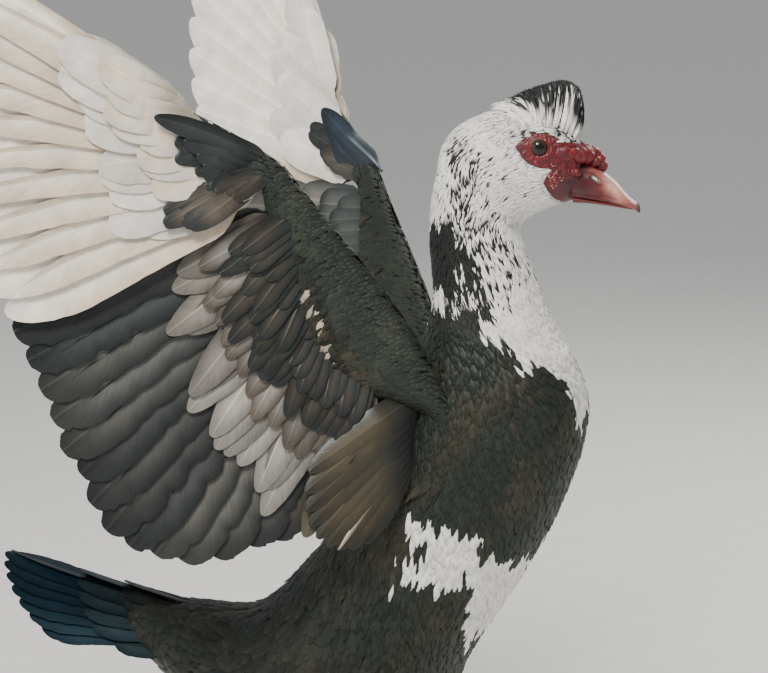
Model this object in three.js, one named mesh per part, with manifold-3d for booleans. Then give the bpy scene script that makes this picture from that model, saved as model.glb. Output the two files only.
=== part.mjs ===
// A life-size muscovy duck, a young drake, standing tall with both wings raised behind it.
// The duck faces +X, its left side is +Y, and +Z is up. Lengths are millimetres and angles degrees.
// Body, neck and head are one smooth form, parted by thin planar cuts. Each wing is an arm and a
// hand of flesh with its flight feathers and coverts set in tiers of overlapping vanes.
import * as THREE from "three";
import { mergeVertices } from "three/addons/utils/BufferGeometryUtils.js";
import Module from "manifold-3d";

const wasm = await Module();
wasm.setup();

// Driving sizes
const GAP = 0.3;
const HEAD_TURN = 20;
const NECK_PIVOT = [79.5, 494];
const TURN_FROM = 425;
const TURN_TO = 515;
const BODY_SIDES = 20;
const FEET_AT = -8;

// Body stations from the tail to the bill: centre x and z, half depth, half width, lean of the back
const BODY = [
  [-209, 175, 17, 24, -17],
  [-174, 163, 31, 37, -20],
  [-134, 147, 47, 50, -13],
  [-100, 137, 64, 61, -3],
  [-60, 143, 85, 70, 4],
  [-19, 167, 97, 76, 10],
  [12, 208, 94, 78, 15],
  [39, 255, 90, 77, 20],
  [66, 301, 85, 73, 31],
  [89, 348, 79, 66, 47],
  [101, 386, 71, 56, 65],
  [98, 414, 59, 46, 73],
  [90, 439, 48, 38, 76],
  [83, 463, 41.5, 33, 80],
  [77.5, 485, 37, 30.5, 81],
  [76, 504, 35, 29, 75],
  [80, 519.5, 37.5, 28, 63],
  [86, 532.5, 43, 27, 55],
  [95, 541, 45.5, 26.5, 48],
  [107.5, 547.5, 44, 26, 38],
  [121, 551, 41, 25.5, 27],
  [132.5, 552, 38.5, 24.5, 17],
  [142, 550.5, 34.5, 22, 7],
  [149, 546, 29, 18.5, -1],
  [153.5, 538, 21, 15, -7],
];
const RINGS = { tail: 5, torso: 15, neck: 4, head: 11 };
const CUTS = { tail: 1.6, torso: 10.6, neck: 13, head: 15.6, face: 24 };

// Wing sizes: reach before and behind the line from shoulder to wrist, and half thickness
const ARM = [
  [8, 16, 15],
  [13, 46, 13],
  [15, 64, 10],
  [13, 56, 8],
  [10, 36, 7],
  [8, 16, 6.5],
];
const HAND = [
  [8, 16, 6.5],
  [8, 17, 5.5],
  [7, 13, 4.5],
  [4.5, 8, 3.5],
  [2, 3, 2],
];

// A wing's pose: its joints, then the rise and outward angle of its feathers, inner to outer
const WING_POSES = {
  right: {
    side: -1,
    shoulder: [70, 52, 372],
    wrist: [-35, 112, 543],
    handTip: [-97, 165, 597],
    outermost: 0.88,
    dip: 7,
    spread: 1,
    armFan: [
      [-69, 20],
      [-63, 28],
      [-50, 34],
      [-36, 36],
      [-21, 37],
    ],
    handFan: [
      [-25, 38],
      [-6, 40],
      [16, 41],
      [36, 41],
    ],
    alula: { rise: 25, out: 43, lift: -12 },
  },
  left: {
    side: 1,
    shoulder: [28, 48, 368],
    wrist: [-54, 92, 523],
    handTip: [-123, 140, 584],
    outermost: 0.9,
    dip: 2,
    spread: 0.9,
    armFan: [
      [-56, 18],
      [-48, 21],
      [-32, 23],
      [-15, 24],
      [4, 25],
    ],
    handFan: [
      [11, 28],
      [29, 24],
      [42, 40],
      [54, 53],
    ],
    alula: { rise: 40, out: 38, lift: 12 },
  },
};

const PLANE_TILT = { arm: 6.5, hand: 7 };
const TAIL_STEP = 1.2;
const PRIMARIES = 10;
const ARM_FEATHERS = 14;
const VANE = { thick: 0.7, quill: 2 };
const LIFT_REACH = 42;

// Shares of a vane at its stations: distance from the root, width, and how much of it is quill
const FLIGHT_SHAPE = [
  [0, 0.14, 1],
  [0.28, 0.88, 0],
  [0.86, 0.96, 0],
  [1, 0.36, 0],
];
const COVERT_SHAPE = [
  [0, 0.2, 0.6],
  [0.3, 0.85, 0],
  [0.8, 1, 0],
  [1, 0.42, 0],
];
const LOCK_SHAPE = [
  [0, 0.4, 0],
  [0.6, 1, 0],
  [1, 0.4, 0],
];

const radians = THREE.MathUtils.degToRad;
const vec = (x, y, z) => new THREE.Vector3(x, y, z);
const lerp = THREE.MathUtils.lerp;
const smooth = THREE.MathUtils.smoothstep;

// A seeded draw between low and high, so that every run gives the same duck
let seed = 7;
function draw(low, high) {
  seed = (seed * 16807) % 2147483647;
  return lerp(low, high, seed / 2147483647);
}

// A smooth curve through rows of numbers, read at a row position
function sample(rows, at) {
  const i = Math.max(0, Math.min(Math.floor(at), rows.length - 2));
  const t = at - i;
  const row = (k) => rows[Math.max(0, Math.min(rows.length - 1, k))];
  return rows[i].map((_, c) => {
    const [a, b, d, e] = [row(i - 1)[c], row(i)[c], row(i + 1)[c], row(i + 2)[c]];
    const bend = t * (2 * a - 5 * b + 4 * d - e + t * (3 * (b - d) + e - a));
    return b + 0.5 * t * (d - a + bend);
  });
}

// Rows of numbers read at a row position along straight lines
function between(rows, at) {
  const i = Math.max(0, Math.min(Math.floor(at), rows.length - 2));
  return rows[i].map((value, c) => lerp(value, rows[i + 1][c], at - i));
}

// A closed solid from corner points and triangles, turned to face out
function solid(points, faces) {
  const geometry = new THREE.BufferGeometry().setFromPoints(points);
  geometry.setIndex(faces);
  const merged = mergeVertices(geometry, 1e-4);
  const vertProperties = new Float32Array(merged.attributes.position.array);
  const triVerts = new Uint32Array(merged.index.array);
  const make = () => new wasm.Manifold(new wasm.Mesh({ numProp: 3, vertProperties, triVerts }));
  const made = make();
  if (made.volume() > 0) return made;
  for (let i = 0; i < triVerts.length; i += 3) {
    [triVerts[i + 1], triVerts[i + 2]] = [triVerts[i + 2], triVerts[i + 1]];
  }
  return make();
}

function solidOf(geometry) {
  geometry.deleteAttribute("normal");
  geometry.deleteAttribute("uv");
  const merged = mergeVertices(geometry, 1e-3);
  const flat = merged.attributes.position;
  const points = Array.from({ length: flat.count }, (_, i) => vec(0, 0, 0).fromBufferAttribute(flat, i));
  return solid(points, Array.from(merged.index.array));
}

// A skin over rings of points, closed at both ends by a fan
function loft(rings) {
  const n = rings[0].length;
  const points = rings.flat();
  const faces = [];
  for (let i = 0; i + 1 < rings.length; i++) {
    for (let j = 0; j < n; j++) {
      const [a, b] = [i * n + j, i * n + ((j + 1) % n)];
      faces.push(a, b, b + n, a, b + n, a + n);
    }
  }
  const centre = (ring) => ring.reduce((sum, p) => sum.add(p), vec(0, 0, 0)).divideScalar(n);
  const last = (rings.length - 1) * n;
  const first = points.push(centre(rings[0])) - 1;
  const end = points.push(centre(rings.at(-1))) - 1;
  for (let j = 0; j < n; j++) {
    faces.push(first, (j + 1) % n, j);
    faces.push(end, last + j, last + ((j + 1) % n));
  }
  return solid(points, faces);
}

// An oval ring about a centre, from two half axes that are given as vectors
function oval(centre, a, b, sides, power = 1) {
  const bend = (v) => Math.sign(v) * Math.abs(v) ** power;
  return Array.from({ length: sides }, (_, j) => {
    const angle = (2 * Math.PI * j) / sides;
    return centre
      .clone()
      .addScaledVector(a, bend(Math.cos(angle)))
      .addScaledVector(b, bend(Math.sin(angle)));
  });
}

// Joins pieces into one body and drops any scrap or sealed hollow
function fuse(pieces) {
  const bodies = wasm.Manifold.union(pieces).decompose();
  return bodies.reduce((best, next) => (next.volume() > best.volume() ? next : best));
}

function mesh(name, manifold, colour, roughness = 0.6) {
  const made = manifold.getMesh();
  const geometry = new THREE.BufferGeometry();
  geometry.setAttribute("position", new THREE.BufferAttribute(made.vertProperties, 3));
  geometry.setIndex(new THREE.BufferAttribute(made.triVerts, 1));
  geometry.computeVertexNormals();
  const material = new THREE.MeshStandardMaterial({ color: colour, roughness, metalness: 0 });
  const node = new THREE.Mesh(geometry, material);
  node.name = name;
  return node;
}

// Body: each ring leans with its station, and the head turns to the left about the neck
function turned(point, height) {
  const angle = radians(HEAD_TURN) * smooth(height, TURN_FROM, TURN_TO);
  const [px] = NECK_PIVOT;
  const x = point.x - px;
  return vec(px + x * Math.cos(angle) - point.y * Math.sin(angle), x * Math.sin(angle) + point.y * Math.cos(angle), point.z);
}

function bodyRing(at, { grow = 0, shift = 0 } = {}) {
  const [x, z, deep, wide, lean] = sample(BODY, at);
  const back = vec(-Math.sin(radians(lean)), 0, Math.cos(radians(lean)));
  const forward = vec(Math.cos(radians(lean)), 0, Math.sin(radians(lean)));
  const centre = vec(x, 0, z).addScaledVector(forward, shift);
  const ring = oval(centre, back.multiplyScalar(deep + grow), vec(0, wide + grow, 0), BODY_SIDES, 0.93);
  return ring.map((p) => turned(p, Math.max(z, at > 15 ? TURN_TO : 0)));
}

function bodyPart(from, to, rings, { grow = 0, open = GAP / 2 } = {}) {
  const list = [];
  for (let i = 0; i <= rings; i++) {
    const ends = i === 0 ? open : i === rings ? -open : 0;
    list.push(bodyRing(lerp(from, to, i / rings), { grow, shift: ends }));
  }
  return loft(list);
}

// A point and a direction in the turned head, from x ahead of the neck, y to the left and height z
function onHead(x, y, z) {
  return turned(vec(NECK_PIVOT[0] + x, y, NECK_PIVOT[1] + z), TURN_TO);
}

// One vane: a thin plate along a drooping line. Its plane is square to the upward direction
function vane(feather) {
  const { root, along, lead, up, length, width, shape } = feather;
  const { leading = 0.5, lift = 0, droop = 0, sweep = 0 } = feather;
  const points = [];
  for (const [q, wide, quill] of shape) {
    const reach = q * length;
    const centre = root
      .clone()
      .addScaledVector(along, reach)
      .addScaledVector(up, lift * smooth(reach, 0, LIFT_REACH) - droop * (reach / 200) ** 2)
      .addScaledVector(lead, -sweep * q * q * length);
    const half = lerp(VANE.thick * (q > 0.95 ? 0.8 : 1), VANE.quill, quill) / 2;
    const front = lerp(leading, 0.5, quill);
    for (const [s, t] of [
      [front, half],
      [front - 1, half],
      [front - 1, -half],
      [front, -half],
    ]) {
      points.push(centre.clone().addScaledVector(lead, s * wide * width).addScaledVector(up, t));
    }
  }
  const faces = [];
  for (let i = 0; i + 1 < shape.length; i++) {
    const [a, b, c, d] = [4 * i, 4 * i + 1, 4 * i + 2, 4 * i + 3];
    const [e, f, g, h] = [a + 4, b + 4, c + 4, d + 4];
    faces.push(a, b, f, a, f, e);
    faces.push(d, g, c, d, h, g);
    faces.push(b, c, g, b, g, f);
    faces.push(a, h, d, a, e, h);
  }
  const k = points.length - 4;
  faces.push(0, 2, 1, 0, 3, 2, k, k + 1, k + 2, k, k + 2, k + 3);
  return solid(points, faces);
}

// Lays a direction into the plane square to the upward one, with its leading direction
function laid(direction, up, side) {
  const along = direction.clone().addScaledVector(up, -direction.dot(up)).normalize();
  const lead = vec(0, 0, 0).crossVectors(up, along).multiplyScalar(-side);
  return { along, lead, up };
}

// The direction of a feather that rises by one angle and points back and outward by another
function fanned(rise, out, side) {
  const flat = Math.cos(radians(rise));
  return vec(-flat * Math.cos(radians(out)), side * flat * Math.sin(radians(out)), Math.sin(radians(rise)));
}

// A limb of the wing: the line of its bone, the way to its rear edge and its upper face. The plane
// of its feathers is tilted a little, so that each one lies just above the next one outward
function limbFrame(start, end, fan, side, tilt) {
  const line = end.clone().sub(start);
  const unit = line.clone().normalize();
  const [inner, outer] = [fan[0], fan.at(-1)].map(([rise, out]) => fanned(rise, out, side));
  const face = vec(0, 0, 0).crossVectors(inner, outer).multiplyScalar(-side);
  face.addScaledVector(unit, -face.dot(unit)).normalize();
  const rear = vec(0, 0, 0).crossVectors(face, unit).multiplyScalar(side);
  const up = face.clone().multiplyScalar(Math.cos(radians(tilt)));
  up.addScaledVector(unit, -Math.sin(radians(tilt)));
  return { start, line, unit, rear, face, up };
}

function fleshRing({ start, line, rear, face }, rows, t) {
  const [front, behind, thick] = sample(rows, t * (rows.length - 1));
  const centre = start.clone().addScaledVector(line, t).addScaledVector(rear, (behind - front) / 2);
  const half = rear.clone().multiplyScalar((behind + front) / 2);
  return oval(centre, half, face.clone().multiplyScalar(thick), 12, 0.9);
}

// Roots and directions of a row of flight feathers, from the inner end of a limb to the outer
function flightFeathers(frame, rows, fan, side, { count, from, to, inset, droop, size }) {
  return Array.from({ length: count }, (_, j) => {
    const t = j / (count - 1);
    const reach = lerp(from, to, t);
    const [front, behind] = sample(rows, reach * (rows.length - 1));
    const root = frame.start
      .clone()
      .addScaledVector(frame.line, reach)
      .addScaledVector(frame.rear, behind - Math.min(inset, 0.5 * (front + behind)));
    const [rise, out] = between(fan, t * (fan.length - 1));
    const set = laid(fanned(rise, out, side), frame.up, side);
    return { root, ...set, droop, shape: FLIGHT_SHAPE, ...size(t) };
  });
}

// A tier of coverts between the flight feathers, over them when the height is positive
function coverts(flights, side, { count, from, to, length, width, height, sink = 0, turn = 0 }) {
  const list = [];
  for (let j = 0; j < count; j++) {
    const at = lerp(from, to, j / (count - 1));
    const i = Math.min(Math.floor(at), flights.length - 2);
    const [a, b] = [flights[i], flights[i + 1]];
    const direction = a.along.clone().lerp(b.along, at - i);
    direction.addScaledVector(a.lead, turn);
    const set = laid(direction, a.up, side);
    const root = a.root.clone().lerp(b.root, at - i);
    root.addScaledVector(set.along, -sink).addScaledVector(set.up, 0.4 * height);
    const long = length * draw(0.97, 1.03);
    const lift = 0.6 * height + (a.lift ?? 0);
    list.push(vane({ root, ...set, length: long, width, shape: COVERT_SHAPE, lift, droop: a.droop }));
  }
  return list;
}

function buildWing(pose, torsoCutter) {
  const side = pose.side;
  const [shoulder, wrist, tip] = ["shoulder", "wrist", "handTip"].map((k) => {
    const [x, y, z] = pose[k];
    return vec(x, side * y, z);
  });
  const arm = limbFrame(shoulder, wrist, pose.armFan, side, PLANE_TILT.arm);
  const hand = limbFrame(wrist, tip, pose.handFan, side, PLANE_TILT.hand);

  const armRings = [-0.26, -0.1, 0.04, 0.18, 0.34, 0.5, 0.66, 0.83, 1].map((t) => fleshRing(arm, ARM, t));
  const start = armRings.at(-1).map((p) => p.clone().addScaledVector(arm.unit, GAP));
  const handRings = [start, ...[0.28, 0.52, 0.78, 1.03].map((t) => fleshRing(hand, HAND, t))];

  const secondaries = flightFeathers(arm, ARM, pose.armFan, side, {
    ...{ count: ARM_FEATHERS, from: 0.16, to: pose.outermost, inset: 12, droop: 9 },
    size: (t) => ({
      ...{ length: 104 + 114 * smooth(t, -0.02, 0.58) - 6 * t, width: lerp(37, 40, t) },
      ...{ leading: 0.42, sweep: 0.03 },
    }),
  });
  const primaries = flightFeathers(hand, HAND, pose.handFan, side, {
    ...{ count: PRIMARIES, from: 0.085, to: 0.97, inset: 9, droop: 3 },
    size: (t) => ({
      ...{ length: pose.spread * (214 + 84 * t - 36 * t ** 6), width: lerp(44, 36, t) },
      ...{ leading: lerp(0.38, 0.25, t), sweep: lerp(0.03, 0.06, t), lift: -pose.dip },
    }),
  });
  const armRow = { count: 8, from: 1.5, to: 12.5, width: 35 };
  const armUpperRow = { count: 6, from: 2.4, to: 12.2, width: 31, sink: 3 };
  const armFeathers = [
    ...secondaries.map(vane),
    ...coverts(secondaries, side, { ...armRow, length: 108, height: -6.5, turn: -0.07 }),
    ...coverts(secondaries, side, { ...armRow, length: 88, height: 6.5 }),
    ...coverts(secondaries, side, { ...armUpperRow, length: 66, height: -12, turn: -0.12 }),
    ...coverts(secondaries, side, { ...armUpperRow, length: 52, height: 12 }),
  ];
  const handRow = { count: 6, from: 0.5, to: 8.2, width: 30 };
  const handFeathers = [
    ...primaries.map(vane),
    ...coverts(primaries, side, { ...handRow, length: 102, height: -6 }),
    ...coverts(primaries, side, { ...handRow, length: 86, height: 6 }),
  ];
  const thumb = pose.alula;
  for (let k = 0; k < 3; k++) {
    const root = wrist.clone().addScaledVector(hand.line, 0.19).addScaledVector(hand.rear, -3 + 2.5 * k);
    const set = laid(fanned(thumb.rise - 3 * k, thumb.out, side), hand.up, side);
    const lift = thumb.lift + Math.sign(thumb.lift) * (1 - k) * 1.4;
    handFeathers.push(vane({ root, ...set, length: 96 - 14 * k, width: 19, shape: FLIGHT_SHAPE, lift, sweep: 0.16 }));
  }
  const whole = fuse([loft(armRings), ...armFeathers]);
  return { arm: fuse([whole.subtract(torsoCutter)]), hand: fuse([loft(handRings), ...handFeathers]) };
}

// Tail: the rump's end with its feathers fanned and stacked, the middle pair highest, and coverts
const TAIL_FAN = { feathers: 16, spread: 22, rise: 12, length: 150, width: 27, top: 186 };
const TAIL_SHAPE = FLIGHT_SHAPE.map(([q, wide]) => [q, wide, 0]);

function tailVane(share, { rise, spread, x, z, length, width, lift, shape }) {
  const away = Math.abs(share);
  const side = share < 0 ? -1 : 1;
  const root = vec(x + 6 * away, 18 * share, z);
  const up = vec(Math.sin(radians(rise)), 0, Math.cos(radians(rise)));
  const set = laid(fanned(rise, spread * away, side), up, side);
  return vane({ root, ...set, length, width, shape, lift });
}

function buildTail() {
  const pieces = [bodyPart(0, CUTS.tail, RINGS.tail)];
  const { feathers, spread, rise, length, width, top } = TAIL_FAN;
  for (let j = 0; j < feathers; j++) {
    const share = (2 * j) / (feathers - 1) - 1;
    const order = Math.round(Math.abs(share) * (feathers - 1)) - (share > 0 ? 1 : 0);
    const long = length - 46 * Math.abs(share) ** 1.6;
    const z = top - TAIL_STEP * order;
    pieces.push(tailVane(share, { rise, spread, x: -184, z, length: long, width, lift: 0, shape: TAIL_SHAPE }));
  }
  const cover = { rise, spread: 17, x: -172, width: 25, shape: COVERT_SHAPE.map(([q, wide]) => [q, wide, 0]) };
  for (const [high, away, long] of [
    [top + 4, 5, 84],
    [top - 24, -5, 78],
  ]) {
    for (let j = 0; j < 6; j++) {
      const share = (2 * j) / 5 - 1;
      const order = Math.round(Math.abs(share) * 5) - (share > 0 ? 1 : 0);
      const z = high - TAIL_STEP * order + (away > 0 ? 5 : 0);
      pieces.push(tailVane(share, { ...cover, z, lift: 0, length: long - 20 * share ** 2 }));
    }
  }
  return fuse(pieces);
}

// Head: skull, raised crest, lids and red caruncles, with sockets for the eyes
const EYE = { x: 45, y: 20.6, z: 65, r: 6.4 };
const CREST = { rows: 2, along: 3, width: 12 };

function eyeBall(side, grow = 0) {
  const ball = new THREE.SphereGeometry(EYE.r + grow, 10, 6);
  const at = onHead(EYE.x, side * EYE.y, EYE.z);
  ball.rotateX(Math.PI / 2);
  ball.translate(at.x, at.y, at.z);
  return solidOf(ball);
}

// Long feathers on the crown, upright at the forehead and laid back towards the nape
function crest() {
  const pieces = [];
  const vertical = vec(0, 0, 1);
  for (let row = -CREST.rows; row <= CREST.rows; row++) {
    for (let k = 0; k <= CREST.along; k++) {
      const t = (k + (row % 2 ? 0.5 : 0)) / (CREST.along + 0.5);
      const ring = bodyRing(lerp(23.4, 20.6, t), { grow: -5 });
      const root = ring[(ring.length + row) % ring.length];
      const away = radians(lerp(0, 58, t) + draw(-3, 3));
      const length = lerp(37, 19, t ** 0.8) * (1 - 0.07 * Math.abs(row)) * draw(0.95, 1.05);
      const along = vec(-Math.sin(away), 0.09 * row, Math.cos(away)).normalize();
      const lead = vec(Math.cos(away), 0.3 * row, Math.sin(away));
      for (const v of [along, lead]) v.applyAxisAngle(vertical, radians(HEAD_TURN));
      const up = vec(0, 0, 0).crossVectors(along, lead).normalize();
      pieces.push(vane({ root, ...laid(along, up, 1), length, width: CREST.width, shape: LOCK_SHAPE }));
    }
  }
  return pieces;
}

// Red knobs: round the eye, on the lore and over the bill, as x, y, z and radius on the head
const KNOBS = [
  [78, 0, 62, 5.6],
  [84.5, 2.5, 58, 4.8],
  [84.5, -3, 57.5, 4.8],
  [89, 0.5, 51, 4.6],
  [77, 8, 57, 4.8],
  [77, -8, 57, 4.8],
];

function knob(x, y, z, r) {
  const ball = new THREE.OctahedronGeometry(1, 1);
  ball.scale(r, r * 0.8, r * 0.9);
  ball.rotateZ(radians(HEAD_TURN));
  const at = onHead(x, y, z);
  ball.translate(at.x, at.y, at.z);
  return solidOf(ball);
}

function buildHead() {
  const pieces = [bodyPart(CUTS.head, CUTS.face, RINGS.head), ...crest()];
  for (const side of [-1, 1]) {
    const at = onHead(EYE.x, side * (EYE.y + 3.9), EYE.z);
    const lid = new THREE.TorusGeometry(EYE.r - 0.6, 1.7, 5, 10);
    lid.scale(1.08, 0.92, 1);
    lid.rotateX(Math.PI / 2);
    lid.rotateZ(radians(HEAD_TURN + side * 5));
    lid.translate(at.x, at.y, at.z);
    pieces.push(solidOf(lid));
    for (let k = 0; k < 5; k++) {
      const angle = (2 * Math.PI * k) / 5;
      const [dx, dz] = [11 * Math.cos(angle), 9.6 * Math.sin(angle)];
      pieces.push(knob(EYE.x + dx, side * (24.4 - 0.016 * dx * dx - 0.01 * dz * dz), EYE.z + dz, 3.8));
    }
    for (let k = 0; k < 3; k++) {
      const dz = 54 - 3 * k + (k % 2 ? 5 : -5);
      pieces.push(knob(61 + 5.5 * k, side * (21.4 - 1.9 * k), dz, 5));
    }
  }
  for (const row of KNOBS) pieces.push(knob(...row));
  return pieces;
}

// Bill: stations ahead of the neck with the top edge, the lower edge and the half width
const UPPER_BILL = [
  [72, 57, 25.8, 14],
  [80, 53, 24.5, 13.6],
  [88, 48, 23.1, 12.8],
  [94, 44.5, 22.1, 12.3],
  [102, 38, 20.7, 12],
  [110.5, 28.6, 19.4, 11.4],
  [116.5, 22.6, 18.6, 8.8],
  [120, 18.9, 17.2, 4.8],
];
const LOWER_BILL = [
  [72, 25.4, 21.8, 12.2],
  [84, 23.4, 21.2, 11.8],
  [97, 21.4, 19.6, 11],
  [107, 19.5, 18, 10.2],
  [114.5, 18.4, 17, 7.4],
];
const NOSTRIL = { x: 87.5, y: 11, z: 40.5 };

function billPart(rows, gapBelow, gapAbove, { grow = 0 } = {}) {
  const rings = [];
  const steps = 10;
  for (let i = 0; i <= steps; i++) {
    const [x, high, low, wide] = sample(rows, (i / steps) * (rows.length - 1));
    const [top, bottom] = [high - gapAbove + grow, low + gapBelow - grow];
    const ahead = i === 0 ? -grow : i === steps ? grow : 0;
    const ring = Array.from({ length: 12 }, (_, j) => {
      const angle = (2 * Math.PI * j) / 12;
      const up = Math.sin(angle);
      const z = (top + bottom) / 2 + ((top - bottom) / 2) * Math.sign(up) * Math.abs(up) ** 0.75;
      const y = (wide + grow) * Math.sign(Math.cos(angle)) * Math.abs(Math.cos(angle)) ** 0.7;
      return onHead(x + ahead, y * (up > 0 ? 1 - 0.28 * up : 1), z);
    });
    rings.push(ring);
  }
  return loft(rings);
}

// Legs: stations down the leg give x, y, z, half length and half width
const FOOT_X = 2;
const FOOT_Y = 54.5;
const THIGH = [
  [30, 40, 168, 36, 30],
  [18, 46, 128, 33, 25],
  [2, 50, 98, 24, 18],
  [-12, 52, 76, 14, 11.5],
  [-18, 53, 62, 8.5, 7.5],
];
const SHANK = [
  [-18, 53, 62, 8.5, 7.5],
  [-14, 53.4, 50, 6.4, 5.2],
  [-8, 54, 32, 6, 5],
  [-2, 54.4, 17.5, 7.4, 6.4],
];

function legRing(side, rows, at, drop = 0) {
  const [x, y, z, a, b] = sample(rows, at);
  return oval(vec(x + FEET_AT, side * y, z - drop), vec(a * 0.93, 0, a * 0.36), vec(0, b, 0), 12);
}

function thigh(side, cutter) {
  const rings = [];
  for (let i = 0; i <= 6; i++) rings.push(legRing(side, THIGH, (2 * i) / 3));
  return fuse([loft(rings).subtract(cutter)]);
}

function shank(side) {
  const rings = [];
  for (let i = 0; i <= 6; i++) rings.push(legRing(side, SHANK, i / 2, i === 0 ? 1.1 * GAP : 0));
  return loft(rings);
}

// Toes: angle outward from straight ahead, length, half width and height at the root
const TOES = {
  inner: { out: -24, length: 47, wide: 5, high: 10 },
  middle: { out: 3, length: 60, wide: 5.6, high: 11 },
  outer: { out: 29, length: 56, wide: 5, high: 10 },
  hind: { out: 200, length: 15, wide: 3.6, high: 8 },
};

function toeRing(side, toe, t, sides = 8) {
  const angle = radians(toe.out) * side;
  const ahead = vec(Math.cos(angle), Math.sin(angle), 0);
  const across = vec(-Math.sin(angle), Math.cos(angle), 0);
  const start = vec(FOOT_X + FEET_AT, side * FOOT_Y, 0);
  const taper = lerp(1, 0.68, t) * (1 + 0.07 * Math.cos(t * Math.PI * 5));
  const high = toe.high * taper;
  return Array.from({ length: sides }, (_, j) => {
    const turn = (2 * Math.PI * (j + 0.5)) / sides;
    return start
      .clone()
      .addScaledVector(ahead, t * toe.length)
      .addScaledVector(across, toe.wide * taper * Math.cos(turn))
      .add(vec(0, 0, Math.max(0, high * (0.42 + 0.58 * Math.sin(turn)))));
  });
}

function foot(side) {
  const pieces = Object.values(TOES).map((toe) => {
    const rings = [];
    for (let i = 0; i <= 4; i++) rings.push(toeRing(side, toe, i / 4));
    return loft(rings);
  });
  const base = vec(FOOT_X + FEET_AT, side * FOOT_Y, 0);
  const ankle = [legRing(side, SHANK, SHANK.length - 1, 1.1 * GAP)];
  for (const [x, z, a, b] of [
    [0, 8, 8.5, 7.5],
    [1, 3, 9, 8],
    [1, 0, 8.5, 7.5],
  ]) {
    ankle.push(oval(base.clone().add(vec(x, 0, z)), vec(a, 0, 0), vec(0, b, 0), 12));
  }
  pieces.push(loft(ankle));
  const web = new THREE.Shape();
  const tipOf = (toe, t) => {
    const angle = radians(toe.out) * side;
    return [base.x + t * toe.length * Math.cos(angle), base.y + t * toe.length * Math.sin(angle)];
  };
  web.moveTo(base.x - 1, base.y);
  web.lineTo(...tipOf(TOES.inner, 0.96));
  web.quadraticCurveTo(...tipOf({ out: -11, length: 44 }, 1), ...tipOf(TOES.middle, 0.94));
  web.quadraticCurveTo(...tipOf({ out: 17, length: 47 }, 1), ...tipOf(TOES.outer, 0.96));
  web.closePath();
  const sheet = new THREE.ExtrudeGeometry(web, { depth: 2, bevelEnabled: false, curveSegments: 5 });
  pieces.push(solidOf(sheet));
  return fuse(pieces);
}

function claw(side, toe) {
  const rings = [];
  const angle = radians(toe.out) * side;
  const ahead = vec(Math.cos(angle), Math.sin(angle), 0);
  const end = toeRing(side, toe, 1, 6);
  const middle = end.reduce((sum, p) => sum.add(p), vec(0, 0, 0)).divideScalar(end.length);
  for (const [reach, drop, size] of [
    [GAP, 0, 0.62],
    [5, 0.6, 0.55],
    [10, 0.2, 0.36],
    [13.5, -1.6, 0.12],
  ]) {
    rings.push(end.map((p) => middle.clone().lerp(p, size).addScaledVector(ahead, reach).add(vec(0, 0, drop))));
  }
  return loft(rings);
}

// Assembly
const duck = new THREE.Group();
const COLOURS = {
  dark: 0x2b2d28,
  white: 0xe8e6e0,
  blue: 0x1d3038,
  red: 0xb01b22,
  bill: 0xc46a60,
  eye: 0x1d1712,
  leg: 0x6d6a4c,
  claw: 0x25211d,
};

const torso = bodyPart(CUTS.tail, CUTS.torso, RINGS.torso);
const around = { grow: 1.2 * GAP, open: -1.2 * GAP };
const cutter = fuse([
  bodyPart(CUTS.tail, CUTS.torso, RINGS.torso, around),
  bodyPart(CUTS.torso, CUTS.neck, RINGS.neck, around),
]);
duck.add(mesh("torso", torso, COLOURS.dark));
duck.add(mesh("neck_lower", bodyPart(CUTS.torso, CUTS.neck, RINGS.neck), COLOURS.white));
duck.add(mesh("neck_upper", bodyPart(CUTS.neck, CUTS.head, RINGS.neck), COLOURS.white));

const nostrils = [-1, 1].map((side) => knob(NOSTRIL.x, side * NOSTRIL.y, NOSTRIL.z, 2.6));
const upperBill = billPart(UPPER_BILL, GAP / 2, 0).subtract(nostrils[0]).subtract(nostrils[1]);
const lowerBill = billPart(LOWER_BILL, 0, GAP / 2);
const hollows = [
  ...[-1, 1].map((side) => eyeBall(side, 1.1 * GAP)),
  billPart(UPPER_BILL, GAP / 2, 0, { grow: 1.8 * GAP }),
  billPart(LOWER_BILL, 0, GAP / 2, { grow: 1.8 * GAP }),
];
const skull = fuse([fuse(buildHead()).subtract(wasm.Manifold.union(hollows))]);
duck.add(mesh("head", skull, COLOURS.white));
for (const [side, name] of [
  [-1, "right"],
  [1, "left"],
]) {
  duck.add(mesh(`eye_${name}`, eyeBall(side), COLOURS.eye, 0.08));
}
duck.add(mesh("bill_upper", upperBill, COLOURS.bill, 0.35));
duck.add(mesh("bill_lower", lowerBill, COLOURS.bill, 0.35));
duck.add(mesh("tail", buildTail(), COLOURS.blue, 0.4));

for (const [name, pose] of Object.entries(WING_POSES)) {
  const made = buildWing(pose, cutter);
  duck.add(mesh(`wing_${name}_arm`, made.arm, COLOURS.dark));
  duck.add(mesh(`wing_${name}_hand`, made.hand, COLOURS.white));
  duck.add(mesh(`thigh_${name}`, thigh(pose.side, cutter), COLOURS.dark));
  duck.add(mesh(`shank_${name}`, shank(pose.side), COLOURS.leg, 0.5));
  duck.add(mesh(`foot_${name}`, foot(pose.side), COLOURS.leg, 0.5));
  for (const [toe, sizes] of Object.entries(TOES)) {
    duck.add(mesh(`claw_${name}_${toe}`, claw(pose.side, sizes), COLOURS.claw, 0.3));
  }
}

// The origin is the bottom centre of the duck's box
const box = new THREE.Box3().setFromObject(duck);
const middle = box.getCenter(vec(0, 0, 0));
for (const node of duck.children) node.position.set(-middle.x, -middle.y, -box.min.z);

export default duck;
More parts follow.
